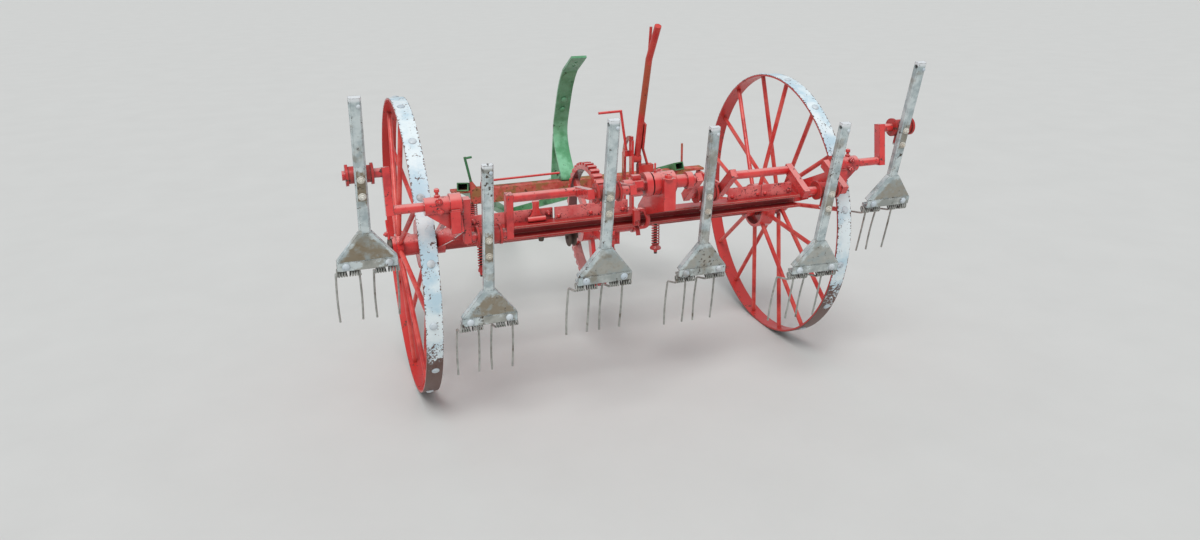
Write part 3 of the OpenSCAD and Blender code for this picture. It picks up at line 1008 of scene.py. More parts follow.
    def gear(self, tree: Tree, colour: Feed, away: Feed) -> Socket:
        """Dark on the ring's inner face, where the normal points to the axle.

        Args:
            tree: the material's tree.
            colour: the paint.
            away: the place counted from the middle of the ring.

        Returns:
            The colour socket.
        """
        flat = tree.vector("MULTIPLY", away, (0.0, 1.0, 1.0)).outputs[0]
        outward = tree.vector("NORMALIZE", flat, (0.0, 0.0, 0.0)).outputs[0]
        inward = tree.step(tree.share_along(outward, tree.normal()), *COVER_MARKS.ring_inward)
        far = tree.step(tree.length(flat), *COVER_MARKS.ring_radius)
        return tree.mix(tree.times(tree.times(inward, far), COVER_MARKS.ring_share), colour, self.inner)

    def ground(self, tree: Tree, wear: bpy.types.Node, centre: np.ndarray, axes: np.ndarray) -> Socket:
        """Mixes the paint's colour before its chips.

        Args:
            tree: the material's tree.
            wear: the wear group in it.
            centre: the place of the wheel, the ring or the crank pin, in metres.
            axes: the fork's own three directions, as columns.

        Returns:
            The colour socket.
        """
        marks = COVER_MARKS
        colour = tree.mix(tree.step(wear.outputs["Cloud"], *self.fade), self.colour, self.faded)
        colour = tree.mix(tree.times(wear.outputs["Stain"], self.stain_share), colour, self.stained)
        place = tree.place()
        height = tree.share_along(place, UPWARD)
        away = tree.vector("SUBTRACT", place, tuple(centre)).outputs[0]
        if self.cover is Cover.TREAD:
            return self.tread(tree, wear, colour, away)
        if self.cover is Cover.FORK:
            return self.fork(tree, wear, colour, away, axes)
        if self.cover is Cover.GEAR:
            return self.gear(tree, colour, away)
        if self.cover is Cover.RAIL:
            side = tree.step(tree.share_along(place, AXIS_X), *marks.pin_side)
            pin = tree.times(tree.step(height, *marks.pin_foot), side)
            return tree.mix(pin, colour, self.inner)
        if self.cover is Cover.LEAF:
            # Painted shade: the leaf's upper half darkens towards its inner green.
            upper = tree.times(tree.step(height, *marks.leaf), marks.leaf_shade_share)
            return tree.mix(upper, colour, self.inner)
        if self.cover is Cover.LEVER:
            cloud = tree.less(wear.outputs["Cloud"], 0.5)
            shaken = tree.plus(height, tree.times(cloud, marks.lever_shake))
            band = tree.times(tree.step(shaken, *marks.lever_low), tree.step(shaken, *marks.lever_high))
            return tree.mix(tree.times(band, marks.lever_share), colour, self.inner)
        return colour

    def painted_highlight(self, tree: Tree, wear: bpy.types.Node, colour: Feed) -> Socket:
        """Paints a highlight on the faces that look up to the sky, more in some clouds of the pattern than in
        others.

        Args:
            tree: the material's tree.
            wear: the wear group in it.
            colour: the paint.

        Returns:
            The colour socket.
        """
        sky = tree.step(tree.share_along(tree.normal(), self.sky), *self.sky_limits)
        sky = tree.times(sky, tree.blend(wear.outputs["Cloud"], *self.sky_spread), clamp=True)
        return tree.mix(tree.times(sky, self.highlight_share), colour, self.highlight_colour)

    def material(
        self, seed: float = 0.0, centre: np.ndarray = np.zeros(3), axes: np.ndarray = np.eye(3)
    ) -> bpy.types.Material:
        """Builds the material.

        Args:
            seed: moves the pattern, so that like parts don't wear alike.
            centre: the place of the wheel, the ring or the crank pin, in metres.
            axes: the fork's own three directions, as columns.

        Returns:
            The material.
        """
        made = bpy.data.materials.new(f"{self.name}_{int(seed * 10)}" if seed else self.name)
        made.use_nodes = True
        made.node_tree.nodes.clear()
        tree = Tree(made.node_tree)
        wear = self.wear(tree, seed)
        colour = self.ground(tree, wear, centre, axes)
        # Painted highlight on the faces turned to the sky.
        if self.highlight_share:
            colour = self.painted_highlight(tree, wear, colour)
        colour = tree.mix(wear.outputs["Chip"], colour, self.bare)
        # Dirt and painted shade: hollows darken towards the dirt-and-shade colour.
        colour = tree.mix(tree.times(wear.outputs["Hollow Shade"], self.dirt_and_shade_share), colour, self.dirt_and_shade)
        rough = tree.blend(wear.outputs["Chip"], self.roughness, self.bare_roughness)
        rough = tree.plus(rough, tree.times(wear.outputs["Stain"], self.stain_rough))
        cloud = tree.less(wear.outputs["Cloud"], 0.5)
        rough = tree.plus(rough, tree.times(cloud, self.cloud_rough), clamp=True)
        relief = {"Height": wear.outputs["Height"], "Normal": wear.outputs["Normal"]}
        bump = tree.node("ShaderNodeBump", Strength=self.relief_strength, Distance=self.relief, **relief)
        shader = tree.node("ShaderNodeBsdfPrincipled", Base_Color=colour, Roughness=rough)
        tree.put(shader.inputs["Normal"], bump.outputs[0])
        shader.inputs["Metallic"].default_value = self.metal
        shader.inputs["Coat Weight"].default_value = self.coat
        shader.inputs["Coat Roughness"].default_value = self.coat_roughness
        out = made.node_tree.nodes.new("ShaderNodeOutputMaterial")
        tree.put(out.inputs["Surface"], shader.outputs[0])
        return made


# Red carries a painted highlight on its faces turned to the sky.
RED = Paint(
    "red_paint", srgb(210, 34, 34), srgb(222, 58, 54), srgb(164, 24, 28), srgb(76, 34, 28),
    chips=0.45, edges=0.6, chip_scale=110.0, stains=0.4, coat=0.9, roughness=0.34, highlight_share=0.72,
)
# The rear beam's red is darker than RED as painted shade on its web. Its pale pink edges are partly edge wear
# and partly a painted highlight line along the flanges.
CHANNEL_RED = Paint(
    "channel_red_paint", srgb(176, 34, 36), srgb(190, 54, 50), srgb(138, 26, 28), srgb(206, 168, 152),
    chips=0.16, edges=1.0, edge_radius=0.004, roughness=0.45, coat=0.5, dirt_and_shade_share=0.2,
)
DARK_RED = Paint(
    "dark_red_paint", srgb(150, 32, 32), srgb(166, 52, 46), srgb(112, 30, 28), srgb(70, 36, 30),
    chips=0.3, edges=0.5, roughness=0.5,
)
WHEEL_RED = Paint(
    "wheel_red_paint", srgb(212, 50, 46), srgb(228, 92, 82), srgb(172, 38, 36), srgb(104, 44, 36),
    chips=0.26, edges=0.3, stains=0.35, coat=0.25,
)
SPECKLED_RED = Paint(
    "speckled_red_paint", srgb(214, 78, 78), srgb(228, 122, 118), srgb(182, 48, 50), srgb(58, 30, 28),
    chips=0.6, edges=0.5, chip_scale=150.0, roughness=0.5,
)
RUSTY = Paint(
    "rusty_rail", srgb(196, 76, 66), srgb(208, 110, 94), srgb(150, 116, 68), srgb(98, 60, 40),
    chips=0.5, edges=0.7, chip_scale=70.0, stains=0.62, stain_scale=16.0, roughness=0.7, coat=0.0,
    cover=Cover.RAIL, inner=srgb(66, 128, 84),
)
GEAR_RED = replace(RED, name="gear_red_paint", cover=Cover.GEAR, inner=srgb(58, 40, 38))
LEVER_RED = Paint(
    "lever_red_paint", srgb(196, 44, 40), srgb(210, 70, 60), srgb(150, 40, 32), srgb(80, 44, 34),
    chips=0.35, edges=0.6, cover=Cover.LEVER, inner=srgb(170, 84, 50),
)
GREEN = Paint(
    "green_paint", srgb(62, 124, 76), srgb(94, 156, 106), srgb(48, 96, 58), srgb(36, 62, 42),
    dirt_and_shade=srgb(24, 46, 30),
    chips=0.4, edges=0.3, chip_scale=60.0, stains=0.4, roughness=0.4,
)
# Its inner colour is the darker green painted as shade on the leaf's upper half.
LEAF_GREEN = Paint(
    "leaf_green_paint", srgb(86, 160, 110), srgb(134, 204, 160), srgb(60, 130, 80), srgb(46, 88, 58),
    chips=0.45, edges=0.35, chip_scale=60.0, stains=0.35, roughness=0.34, coat=0.4, dirt_and_shade=srgb(26, 52, 34),
    cover=Cover.LEAF, inner=srgb(48, 104, 58),
)
TREAD = Paint(
    "tread_paint", srgb(190, 216, 228), srgb(232, 242, 244), srgb(176, 196, 206), srgb(98, 66, 56),
    chips=0.47, edges=0.0, chip_scale=120.0, stains=0.2, stain_scale=4.0, roughness=0.42, coat=0.2,
    cover=Cover.TREAD, inner=srgb(202, 52, 48), worn_below=-0.24, dirt_and_shade=srgb(96, 84, 78), dirt_and_shade_share=0.4,
)
ARM = Paint(
    "grey_arm_paint", srgb(164, 178, 180), srgb(206, 216, 216), srgb(126, 108, 78), srgb(74, 62, 52),
    metal=0.1, chips=0.44, edges=0.8, chip_scale=75.0, stains=0.45, stain_scale=11.0, roughness=0.4, coat=0.3,
    dirt_and_shade=srgb(92, 84, 74), dirt_and_shade_share=0.55, cover=Cover.FORK, inner=srgb(196, 44, 40), stain_share=0.5,
)
TINE = Paint(
    "tine_steel", srgb(150, 152, 146), srgb(180, 182, 176), srgb(118, 110, 96), srgb(92, 80, 66),
    metal=0.3, dirt_and_shade=srgb(60, 56, 50), chips=0.3, edges=0.0, chip_scale=160.0, stain_scale=14.0,
    roughness=0.45, coat=0.0, edge_radius=0.0005,
)
BARE = Paint(
    "bare_steel", srgb(84, 74, 68), srgb(110, 98, 88), srgb(84, 58, 44), srgb(52, 38, 32),
    metal=0.6, chips=0.3, edges=0.1, roughness=0.55, coat=0.0,
)
NUT = Paint(
    "nut_steel", srgb(204, 198, 182), srgb(226, 224, 214), srgb(170, 148, 116), srgb(96, 76, 58),
    metal=0.2, chips=0.4, edges=0.1, chip_scale=220.0, roughness=0.4, coat=0.0, edge_radius=0.0008,
)
RIVET = Paint(
    "pale_rivet", srgb(186, 198, 206), srgb(210, 218, 222), srgb(150, 146, 140), srgb(98, 74, 62),
    dirt_and_shade=srgb(80, 70, 64), chips=0.4, edges=0.1, chip_scale=200.0, roughness=0.4, edge_radius=0.0008,
)


def dress(node: str, material: bpy.types.Material) -> None:
    """Gives a CAD node its finish, in every slot of its object.

    Args:
        node: name of the node.
        material: its finish.
    """
    target = frame["nodes"][node]
    if not target.material_slots:
        target.data.materials.append(material)
    for slot in target.material_slots:
        slot.material = material
    LOG.info("node %s wears %s", node, material.name)


# Sub-assemblies


@dataclass
class Wheel:
    """An iron wheel: a tyre painted pale on its tread, sixteen spokes, a hub with its ratchet drum."""

    side: str
    sign: float
    first_angle: float
    seed: float
    spokes: int = 16
    rivet_r: float = 13.0
    rivet_h: float = 6.0
    rivet_shift: float = 3.0
    floor_gap: float = 0.012

    def centre(self) -> np.ndarray:
        """The middle of the tyre in millimetres."""
        return np.array([self.sign * DRAWING.wheel_x, 0.0, DRAWING.axle_z])

    def rivets(self) -> Surface:
        """The heads of the spokes on the tread: at radius R and angle a + 360 i / n, facing outwards.

        They stand a little to either side in turn. A head that would be pressed into the floor is left out.

        Returns:
            The heads' surface.
        """
        number = np.arange(self.spokes)
        turn = np.radians(self.first_angle + number * 360.0 / self.spokes)
        out = np.stack([turn * 0.0, np.cos(turn), np.sin(turn)], axis=-1)
        shift = np.where(number % 2 == 0, self.rivet_shift, -self.rivet_shift) * self.sign
        places = self.centre() + out * DRAWING.axle_z + shift[:, None] * ALONG_X
        clear = np.abs(out[:, 2] + 1.0) > self.floor_gap
        return dome(self.rivet_r, self.rivet_h).copies(facing(places[clear], out[clear]))

    def build(self) -> None:
        """Dresses the wheel's nodes and adds the rivet heads."""
        dress(f"tyre_{self.side}", TREAD.material(self.seed, DRAWING.point(self.centre())))
        dress(f"spokes_{self.side}", WHEEL_RED.material(self.seed))
        dress(f"hub_{self.side}", RED.material(self.seed))
        name = f"tread_rivets_{self.side}"
        make_piece(name, self.rivets(), RIVET_MATERIAL, f"wheel_{self.side}")


@dataclass
class Fork:
    """One fork on its crank pin: arm, foot, four coil tines and their bolts, in the arm's own frame."""

    number: int
    lean: float
    beside: float
    tilt: float
    rubbed: float
    back: float = -52.0
    foot_bottom: float = -285.0
    arm_top: float = 251.0
    coil_y: float = -36.0
    coil_r: float = 11.6
    wire_d: float = 6.8
    coil_wire_d: float = 5.2
    pitch: float = 7.6
    turns: float = 4.0
    slope: float = 24.0
    reach: float = 66.0
    bend: float = 15.0
    leg: float = 170.0
    sway: tuple[float, float] = (2.0, 1.5)
    coil_below: float = 15.3
    tines: tuple[tuple[float, int], ...] = ((-80.0, -1), (-33.0, 1), (33.0, -1), (80.0, 1))
    nut_heights: tuple[float, float] = (8.0, -45.0)
    strip_rivets: tuple[float, float] = (-62.0, 62.0)

    def pin(self) -> np.ndarray:
        """The place of the crank pin in millimetres, from the joint that the fork turns on."""
        return joint_place(f"fork_{self.number}_swing") - DRAWING.origin

    def matrix(self) -> np.ndarray:
        """The arm's matrix: turned by its tilt about Y, put beside its hub, then leant about X at the pin."""
        lean = Matrix.Rotation(math.radians(self.lean), 4, "X")
        tilt = Matrix.Rotation(math.radians(self.tilt), 4, "Y")
        beside = Matrix.Translation((self.beside, 0, 0))
        return np.array(Matrix.Translation(self.pin()) @ lean @ beside @ tilt)

    def tine(self, place: float, side: int) -> Surface:
        """One tine: a coil about X, then forward and down at the slope, a bend, and the leg straight down.

        The coil ends where its tangent has the slope, so the wire runs on without a kink. The bend is the
        circle about m: m + R (cos u, sin u), with u from 90 degrees less the slope down to 0.

        Args:
            place: the coil's middle along the foot.
            side: the end of the coil at which the wire leaves.

        Returns:
            The tine's surface.
        """
        slope = math.radians(self.slope)
        leave = 1.5 * math.pi - slope
        width = self.turns * self.pitch
        share = np.linspace(0.0, 1.0, int(self.turns * 28) + 1)
        turn = leave - (1.0 - share) * self.turns * 2.0 * math.pi
        x = side * (share * width - width + 1.5 * self.pitch)
        coil = np.stack([x, self.coil_r * np.cos(turn), self.coil_r * np.sin(turn)], axis=-1)
        run = np.array([0.0, math.cos(slope), -math.sin(slope)])
        inward = np.array([0.0, -math.sin(slope), -math.cos(slope)])
        straight = coil[-1] + run * np.linspace(0.08, 1.0, 6)[:, None] * (self.reach - 4.0)
        middle = straight[-1] + inward * self.bend
        swing = np.linspace(math.pi / 2 - slope, 0.0, 9)[1:]
        arc = middle + self.bend * np.stack([swing * 0.0, np.cos(swing), np.sin(swing)], axis=-1)
        drop = np.linspace(0.04, 1.0, 12)[:, None]
        sway = np.sin(drop * math.pi) * np.array([side * self.sway[0], self.sway[1], 0.0])
        leg = arc[-1] - drop * self.leg * ALONG_Z + sway
        path = np.concatenate([coil, straight, arc, leg])
        path = path + [place, self.coil_y, self.foot_bottom - self.coil_below]
        thick = np.full(len(path), self.wire_d / 2.0)
        thick[: len(coil)] = self.coil_wire_d / 2.0
        return tube(path, thick, 10, ALONG_X)

    def nuts(self) -> Surface:
        """The two nuts on the rear of the arm, which hold the strap round the crank pin."""
        places = np.array([[0.0, self.back, height] for height in self.nut_heights])
        return nut(16.0, 8.0, 6).copies(along(TO_REAR, places))

    def rivets(self) -> Surface:
        """The dome heads on the foot's strip, and the smaller one near the top of the arm."""
        strip = np.array([[x, self.back - 3.0, self.foot_bottom + 15.0] for x in self.strip_rivets])
        top = np.array([[8.0, self.back, self.arm_top - 23.0]])
        heads = dome(12.0, 8.0).copies(along(TO_REAR, strip))
        return joined([heads, dome(6.0, 4.5).copies(along(TO_REAR, top))])

    def build(self) -> None:
        """Dresses the fork's nodes and puts its wire tines and bolts on it."""
        matrix = self.matrix()
        body = f"fork_{self.number}"
        paint = replace(ARM, rub=self.rubbed)
        finish = paint.material(float(self.number), DRAWING.point(self.pin()), matrix[:3, :3])
        dress(f"{body}_arm", finish)
        dress(f"{body}_foot", finish)
        wires = joined([self.tine(place, side) for place, side in self.tines]).moved(matrix)
        tines = make_piece(f"coil_tines_{self.number}", wires, TINE_MATERIAL, body)
        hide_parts(f"fork_{self.number}_tines")
        nuts = self.nuts().moved(matrix)
        make_piece(f"fork_nuts_{self.number}", nuts, NUT_MATERIAL, body)
        rivets = self.rivets().moved(matrix)
        make_piece(f"fork_rivets_{self.number}", rivets, RIVET_MATERIAL, body)


@dataclass
class CrankLine:
    """The crankshaft with its clutch, and the bolts of the bearings that carry it."""

    cap_bolts: tuple[Place, ...] = (
        (-705.0, -23.0, 18.0),
        (-702.0, -23.0, -12.0),
        (700.0, -23.0, 18.0),
        (698.0, -23.0, -12.0),
    )
    cups: tuple[float, ...] = (-706.0, 700.0)
    cup_profile: Outline = (
        (-2.0, 9.0), (6.0, 9.0), (8.0, 5.0), (14.0, 5.0), (16.0, 8.0), (24.0, 8.0), (27.0, 4.0),
    )
    nipple_profile: Outline = ((-2.0, 5.0), (8.0, 5.0), (9.0, 3.0), (26.0, 3.0), (27.0, 4.0), (31.0, 2.0))
    nipple_x: float = -14.0
    studs: tuple[Place, ...] = ((12.0, -606.0, 848.0), (12.0, -530.0, 846.0))

    def fittings(self) -> Surface:
        """Square bolt heads on the rear of the bearing barrels, grease cups on top, and the pedestal's nuts.

        Returns:
            The surface of them all.
        """
        line = np.array([0.0, DRAWING.crank_y, DRAWING.crank_z])
        heads = nut(15.0, 8.0, 4).copies(along(TO_REAR, np.array(self.cap_bolts) + line + [0.0, -2.0, 0.0]))
        tops = np.array([[x, 0.0, 26.0] for x in self.cups]) + line
        cups = revolved(np.array(self.cup_profile), 16).copies(along(UPWARD, tops))
        studs = nut(22.0, 13.0, 6).copies(along(UPWARD, np.array(self.studs)))
        middle = np.array([[self.nipple_x, 0.0, 36.0]]) + line
        nipple = revolved(np.array(self.nipple_profile), 12).copies(along(UPWARD, middle))
        return joined([heads, cups, studs, nipple])

    def build(self) -> None:
        """Dresses the crank line and its bearings."""
        dress("crankshaft", RED.material(1.5))
        dress("clutch", RED.material(2.5))
        dress("main_bearings", RED.material(4.5))
        dress("centre_bearing", RED.material(5.5))
        make_piece("bearing_bolts", self.fittings(), RED_FITTING, "frame")


@dataclass(frozen=True)
class HangingSpring:
    """One spring on its rod: place along the axle, heights of foot and top turn, radii of coil and foot."""

    x: float
    low: float
    high: float
    radius: float
    foot: float
    y: float = -300.0
    wire: float = 4.4
    pitch: float = 9.6
    foot_depth: float = 17.0
    rod_r: float = 5.8
    hanger: tuple[tuple[float, float], ...] = ((-376.0, 676.0), (-379.5, 677.0))
    end_profile: Outline = ((-12.0, 4.0), (-10.0, 6.5), (-3.0, 7.5), (1.0, 7.5))

    def coil(self) -> Surface:
        """The coil, with as many turns as the pitch gives between its foot and its top."""
        start = self.low + self.foot_depth
        turns = (self.high - self.low - self.foot_depth) / self.pitch
        path = helix(self.radius, start, self.high, turns, 0.0, 22) + [self.x, self.y, 0.0]
        return tube(path, self.wire / 2.0, 8, ALONG_Z)

    def plate(self) -> Surface:
        """The round foot that the coil bears on, and the rod's end below it."""
        profile = [[0.0, self.foot * 0.7], [2.0, self.foot], [7.0, self.foot]]
        profile = profile + [[self.foot_depth, self.radius * 0.8], [22.0, 5.0]]
        both = joined([revolved(np.array(profile), 24), revolved(np.array(self.end_profile), 8)])
        return both.moved(lifted((self.x, self.y, self.low)))

    def rod(self) -> Surface:
        """The rod through the coil, bent to reach the rear beam."""
        corners = [[self.x, self.y, self.low - 16.0], [self.x, self.y, self.high + 6.0]]
        corners = corners + [[self.x, y, z] for y, z in self.hanger]
        return tube(rounded_path(np.array(corners), 2.0), self.rod_r, 12, ALONG_X)


@dataclass
class Springs:
    """The two springs that hang from the rear beam on bent hangers, and the short one below the rail."""

    hanging: tuple[HangingSpring, ...] = (
        HangingSpring(-536.0, 503.0, 605.0, 9.5, 12.0),
        HangingSpring(98.0, 505.0, 598.0, 13.0, 20.0),
    )
    rail_place: tuple[float, float] = (-440.0, 306.0)
    seat_profile: Outline = ((0.0, 10.0), (2.0, 18.0), (7.0, 18.0), (9.0, 9.0))

    def rail_spring(self) -> Surface:
        """The short spring below the rail, on its rod and its seat.

        Returns:
            The surface of all three.
        """
        x, y = self.rail_place
        coil = helix(15.0, 512.0, 572.0, 7.0, 0.0, 20) + [x, y, 0.0]
        rod = np.array([[x, y, 500.0], [x, y, 540.0], [x, y, 618.0]])
        seat = revolved(np.array(self.seat_profile), 20).moved(lifted((x, y, 503.0)))
        return joined([tube(coil, 2.4, 8, ALONG_Z), tube(rod, 4.5, 10, ALONG_X), seat])

    def build(self) -> None:
        """Makes the hanging springs in place of their solids, and the short spring below the rail."""
        coils = joined([part for spring in self.hanging for part in (spring.coil(), spring.plate())])
        hanging = make_piece("wire_springs", coils, RED_FITTING, "frame")
        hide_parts("hanging_springs")
        rods = joined([spring.rod() for spring in self.hanging])
        make_piece("spring_rods", rods, DARK_FITTING, "frame")
        make_piece("rail_spring", self.rail_spring(), RED_FITTING, "frame")


@dataclass
class FrameDress:
    """The frame: beam, guard plates, rail, drawbar, lever stand, and the small parts bolted to them."""

    beam_y: float = -430.0
    beam_z: float = 690.0
    plate_bolts: tuple[float, ...] = (-290.0, -180.0, -66.0, 345.0, 445.0, 475.0, 568.0)
    hook_x: float = -31.0
    prong: tuple[Place, ...] = (
        (-26.0, -438.0, 704.0), (-6.0, -446.0, 706.0), (6.0, -458.0, 676.0), (2.0, -452.0, 648.0),
        (-20.0, -442.0, 644.0),
    )
    hook_lug: tuple[Place, ...] = ((-21.0, -405.0, 640.0), (-21.0, -426.0, 634.0), (-21.0, -434.0, 612.0))
    collar_x: float = 13.0
    collar_outline: Outline = (
        (0.0, 33.4), (0.0, 50.0), (14.0, 52.0), (18.0, 45.0), (100.0, 45.0), (104.0, 51.0), (122.0, 50.0),
        (122.0, 33.4),
    )
    collar_lug: tuple[Place, ...] = (
        (55.0, -6.0, 490.0), (55.0, -8.0, 472.0), (54.0, -12.0, 456.0), (53.0, -16.0, 440.0),
    )
    pulley_place: Place = (-228.0, -330.0, 599.0)
    pulley_profile: Outline = (
        (-12.0, 12.0), (-12.0, 30.0), (-8.0, 32.0), (0.0, 23.0), (8.0, 32.0), (12.0, 30.0), (12.0, 12.0),
    )
    pulley_stem: tuple[Place, ...] = (
        (-208.0, -330.0, 599.0), (-208.0, -345.0, 640.0), (-208.0, -379.0, 668.0),
    )
    clamp_widths: Outline = (
        (690.0, 64.0), (698.0, 58.0), (706.0, 44.0), (716.0, 31.0), (727.0, 24.0), (738.0, 20.0),
        (747.0, 22.0), (758.0, 23.0),
    )
    clamp_thick: tuple[float, ...] = (11.0, 11.0, 11.0, 11.0, 12.0, 13.0, 16.0, 16.0)
    clamp_bolts: tuple[Place, ...] = ((-570.0, -387.0, 708.0), (-322.0, -387.0, 710.0))
    hanger_place: Place = (-352.0, -402.0, 634.0)
    hanger_profile: Outline = (
        (-12.0, 6.0), (-10.0, 9.0), (-1.0, 9.5), (0.0, 12.0), (9.0, 12.0), (11.0, 6.0),
    )
    clip: tuple[Place, ...] = (
        (-805.0, 8.0, 505.0), (-805.0, 8.0, 540.0), (-805.0, 16.0, 575.0), (-806.0, 26.0, 600.0),
        (-806.0, 34.0, 618.0),
    )
    clip_widths: tuple[float, ...] = (30.0, 40.0, 20.0, 16.0, 24.0)
    rod: tuple[Place, ...] = (
        (-404.0, 300.0, 629.0), (-402.0, 300.0, 657.0), (-386.0, 300.0, 658.5), (-78.0, 300.0, 663.0),
    )

    def plate_heads(self) -> Surface:
        """Low dome heads on the guard plates, facing the rear."""
        places = np.array([[x, self.beam_y + 25.0, self.beam_z + 12.0] for x in self.plate_bolts])
        return dome(7.0, 4.0).copies(along(TO_REAR, places))

    def hook(self) -> Surface:
        """The casting on the beam's face: a block with a bolt, a prong that curls beside it, and a lug.

        Returns:
            The hook's surface.
        """
        post = np.array([[self.hook_x, -441.0, height] for height in (653.0, 680.0, 706.0)])
        block = ribbon(post, 24.0, 20.0, ALONG_X)
        prong = tube(rounded_path(np.array(self.prong), 11.0), 8.0, 14, np.array([0.0, 1.0, 0.15]))
        lug = tube(rounded_path(np.array(self.hook_lug), 9.0), 7.5, 12, ALONG_X)
        bolt = nut(13.0, 6.0, 6).copies(along(TO_REAR, np.array([[self.hook_x, -451.0, 662.0]])))
        return joined([block, prong, lug, bolt])

    def sleeve_collar(self) -> Surface:
        """The thick collar on the axle sleeve beside the ring gear, with its hanging lug.

        Returns:
            The collar's surface: a closed outline turned about X, and the lug's ribbon.
        """
        middle = np.array([[self.collar_x, 0.0, DRAWING.axle_z]])
        ring = hoop(np.array(self.collar_outline), 32).copies(along(AXIS_X, middle))
        lug = ribbon(np.array(self.collar_lug), np.array([30.0, 26.0, 24.0, 24.0]), 14.0, ALONG_X)
        bolt = nut(14.0, 7.0, 6).copies(along((0.0, -1.0, -0.2), np.array([[53.0, -20.0, 452.0]])))
        return joined([ring, lug, bolt])

    def pulley(self) -> Surface:
        """A grooved wheel on a short stem below the beam: its profile is turned about X.

        Returns:
            The pulley's surface.
        """
        middle = np.array(self.pulley_place)
        wheel = revolved(np.array(self.pulley_profile), 28).copies(along(AXIS_X, middle[None]))
        stem = tube(rounded_path(np.array(self.pulley_stem), 10.0), 5.5, 12, ALONG_X)
        pin = middle + np.array([-18.0, 0.0, 25.0])[:, None] * ALONG_X
        return joined([wheel, stem, tube(pin, 6.0, 12, ALONG_Y)])

    def clamp(self) -> Surface:
        """The waisted clamp on the dull plate: a flat bar that is wide at its foot, over a short round bar.

        Returns:
            The clamp's surface, with the plate's two bolt heads.
        """
        height, width = np.array(self.clamp_widths).T
        path = np.stack([height * 0.0 - 365.0, height * 0.0 - 393.0, height], axis=-1)
        post = ribbon(path, width, np.array(self.clamp_thick), ALONG_X)
        share = np.linspace(-1.0, 1.0, 9)
        line = np.array([-366.0, -404.0, 700.0]) + 30.0 * share[:, None] * ALONG_X
        roller = tube(line, 9.0, 16, ALONG_Z)
        heads = nut(14.0, 6.0, 6).copies(along(TO_REAR, np.array(self.clamp_bolts)))
        return joined([post, roller, heads])

    def hanger_bolt(self) -> Surface:
        """The dark bolt end that hangs below the beam, left of the pulley."""
        return revolved(np.array(self.hanger_profile), 6).moved(lifted(self.hanger_place))

    def axle_clip(self) -> Surface:
        """The forked clip on the left end of the axle, with its bolt."""
        blade = ribbon(np.array(self.clip), np.array(self.clip_widths), 9.0, np.array([0.0, 1.0, -0.2]))
        bolt = nut(16.0, 9.0, 6).copies(along((-1.0, 0.0, 0.0), np.array([[-809.0, 14.0, 572.0]])))
        return joined([blade, bolt])

    def rail_rod(self) -> Surface:
        """The thin rod above the front rail, from its foot on the flange to the seat leaf."""
        return tube(rounded_path(np.array(self.rod), 8.0), 4.8, 12, np.array([0.0, 1.0, 0.1]))

    def build(self) -> None:
        """Dresses the frame's nodes and adds its small parts."""
        dress("side_frames", RED.material(6.5))
        dress("rear_beam", CHANNEL_RED.material(1.0))
        dress("guard_plates", SPECKLED_RED.material(1.0))
        dress("axle_sleeves", DARK_RED.material(2.0))
        dress("front_rail", RUSTY.material(1.0))
        dress("drawbar", GREEN.material(1.0))
        dress("cross_tie", GREEN.material(2.0))
        dress("lever_stand", RED.material(7.5))
        dress("trip_rod", RED.material(8.5))
        dress("hand_lever", LEVER_RED.material(9.5))
        middle = DRAWING.point(np.array([0.0, 0.0, DRAWING.axle_z]))
        dress("ring_gear", GEAR_RED.material(10.5, middle))
        dress("axle_shaft", BARE.material(1.0))
        make_piece("plate_heads", self.plate_heads(), RED_FITTING, "frame")
        make_piece("beam_hook", self.hook(), RED_FITTING, "frame")
        make_piece("sleeve_collar", self.sleeve_collar(), RED_FITTING, "frame")
        make_piece("rope_pulley", self.pulley(), DARK_FITTING, "frame")
        make_piece("plate_clamp", self.clamp(), RED_FITTING, "frame")
        make_piece("hanger_bolt", self.hanger_bolt(), DARK_FITTING, "frame")
        make_piece("axle_clip", self.axle_clip(), RED_FITTING, "axle")
        make_piece("rail_rod", self.rail_rod(), RED_FITTING, "frame")


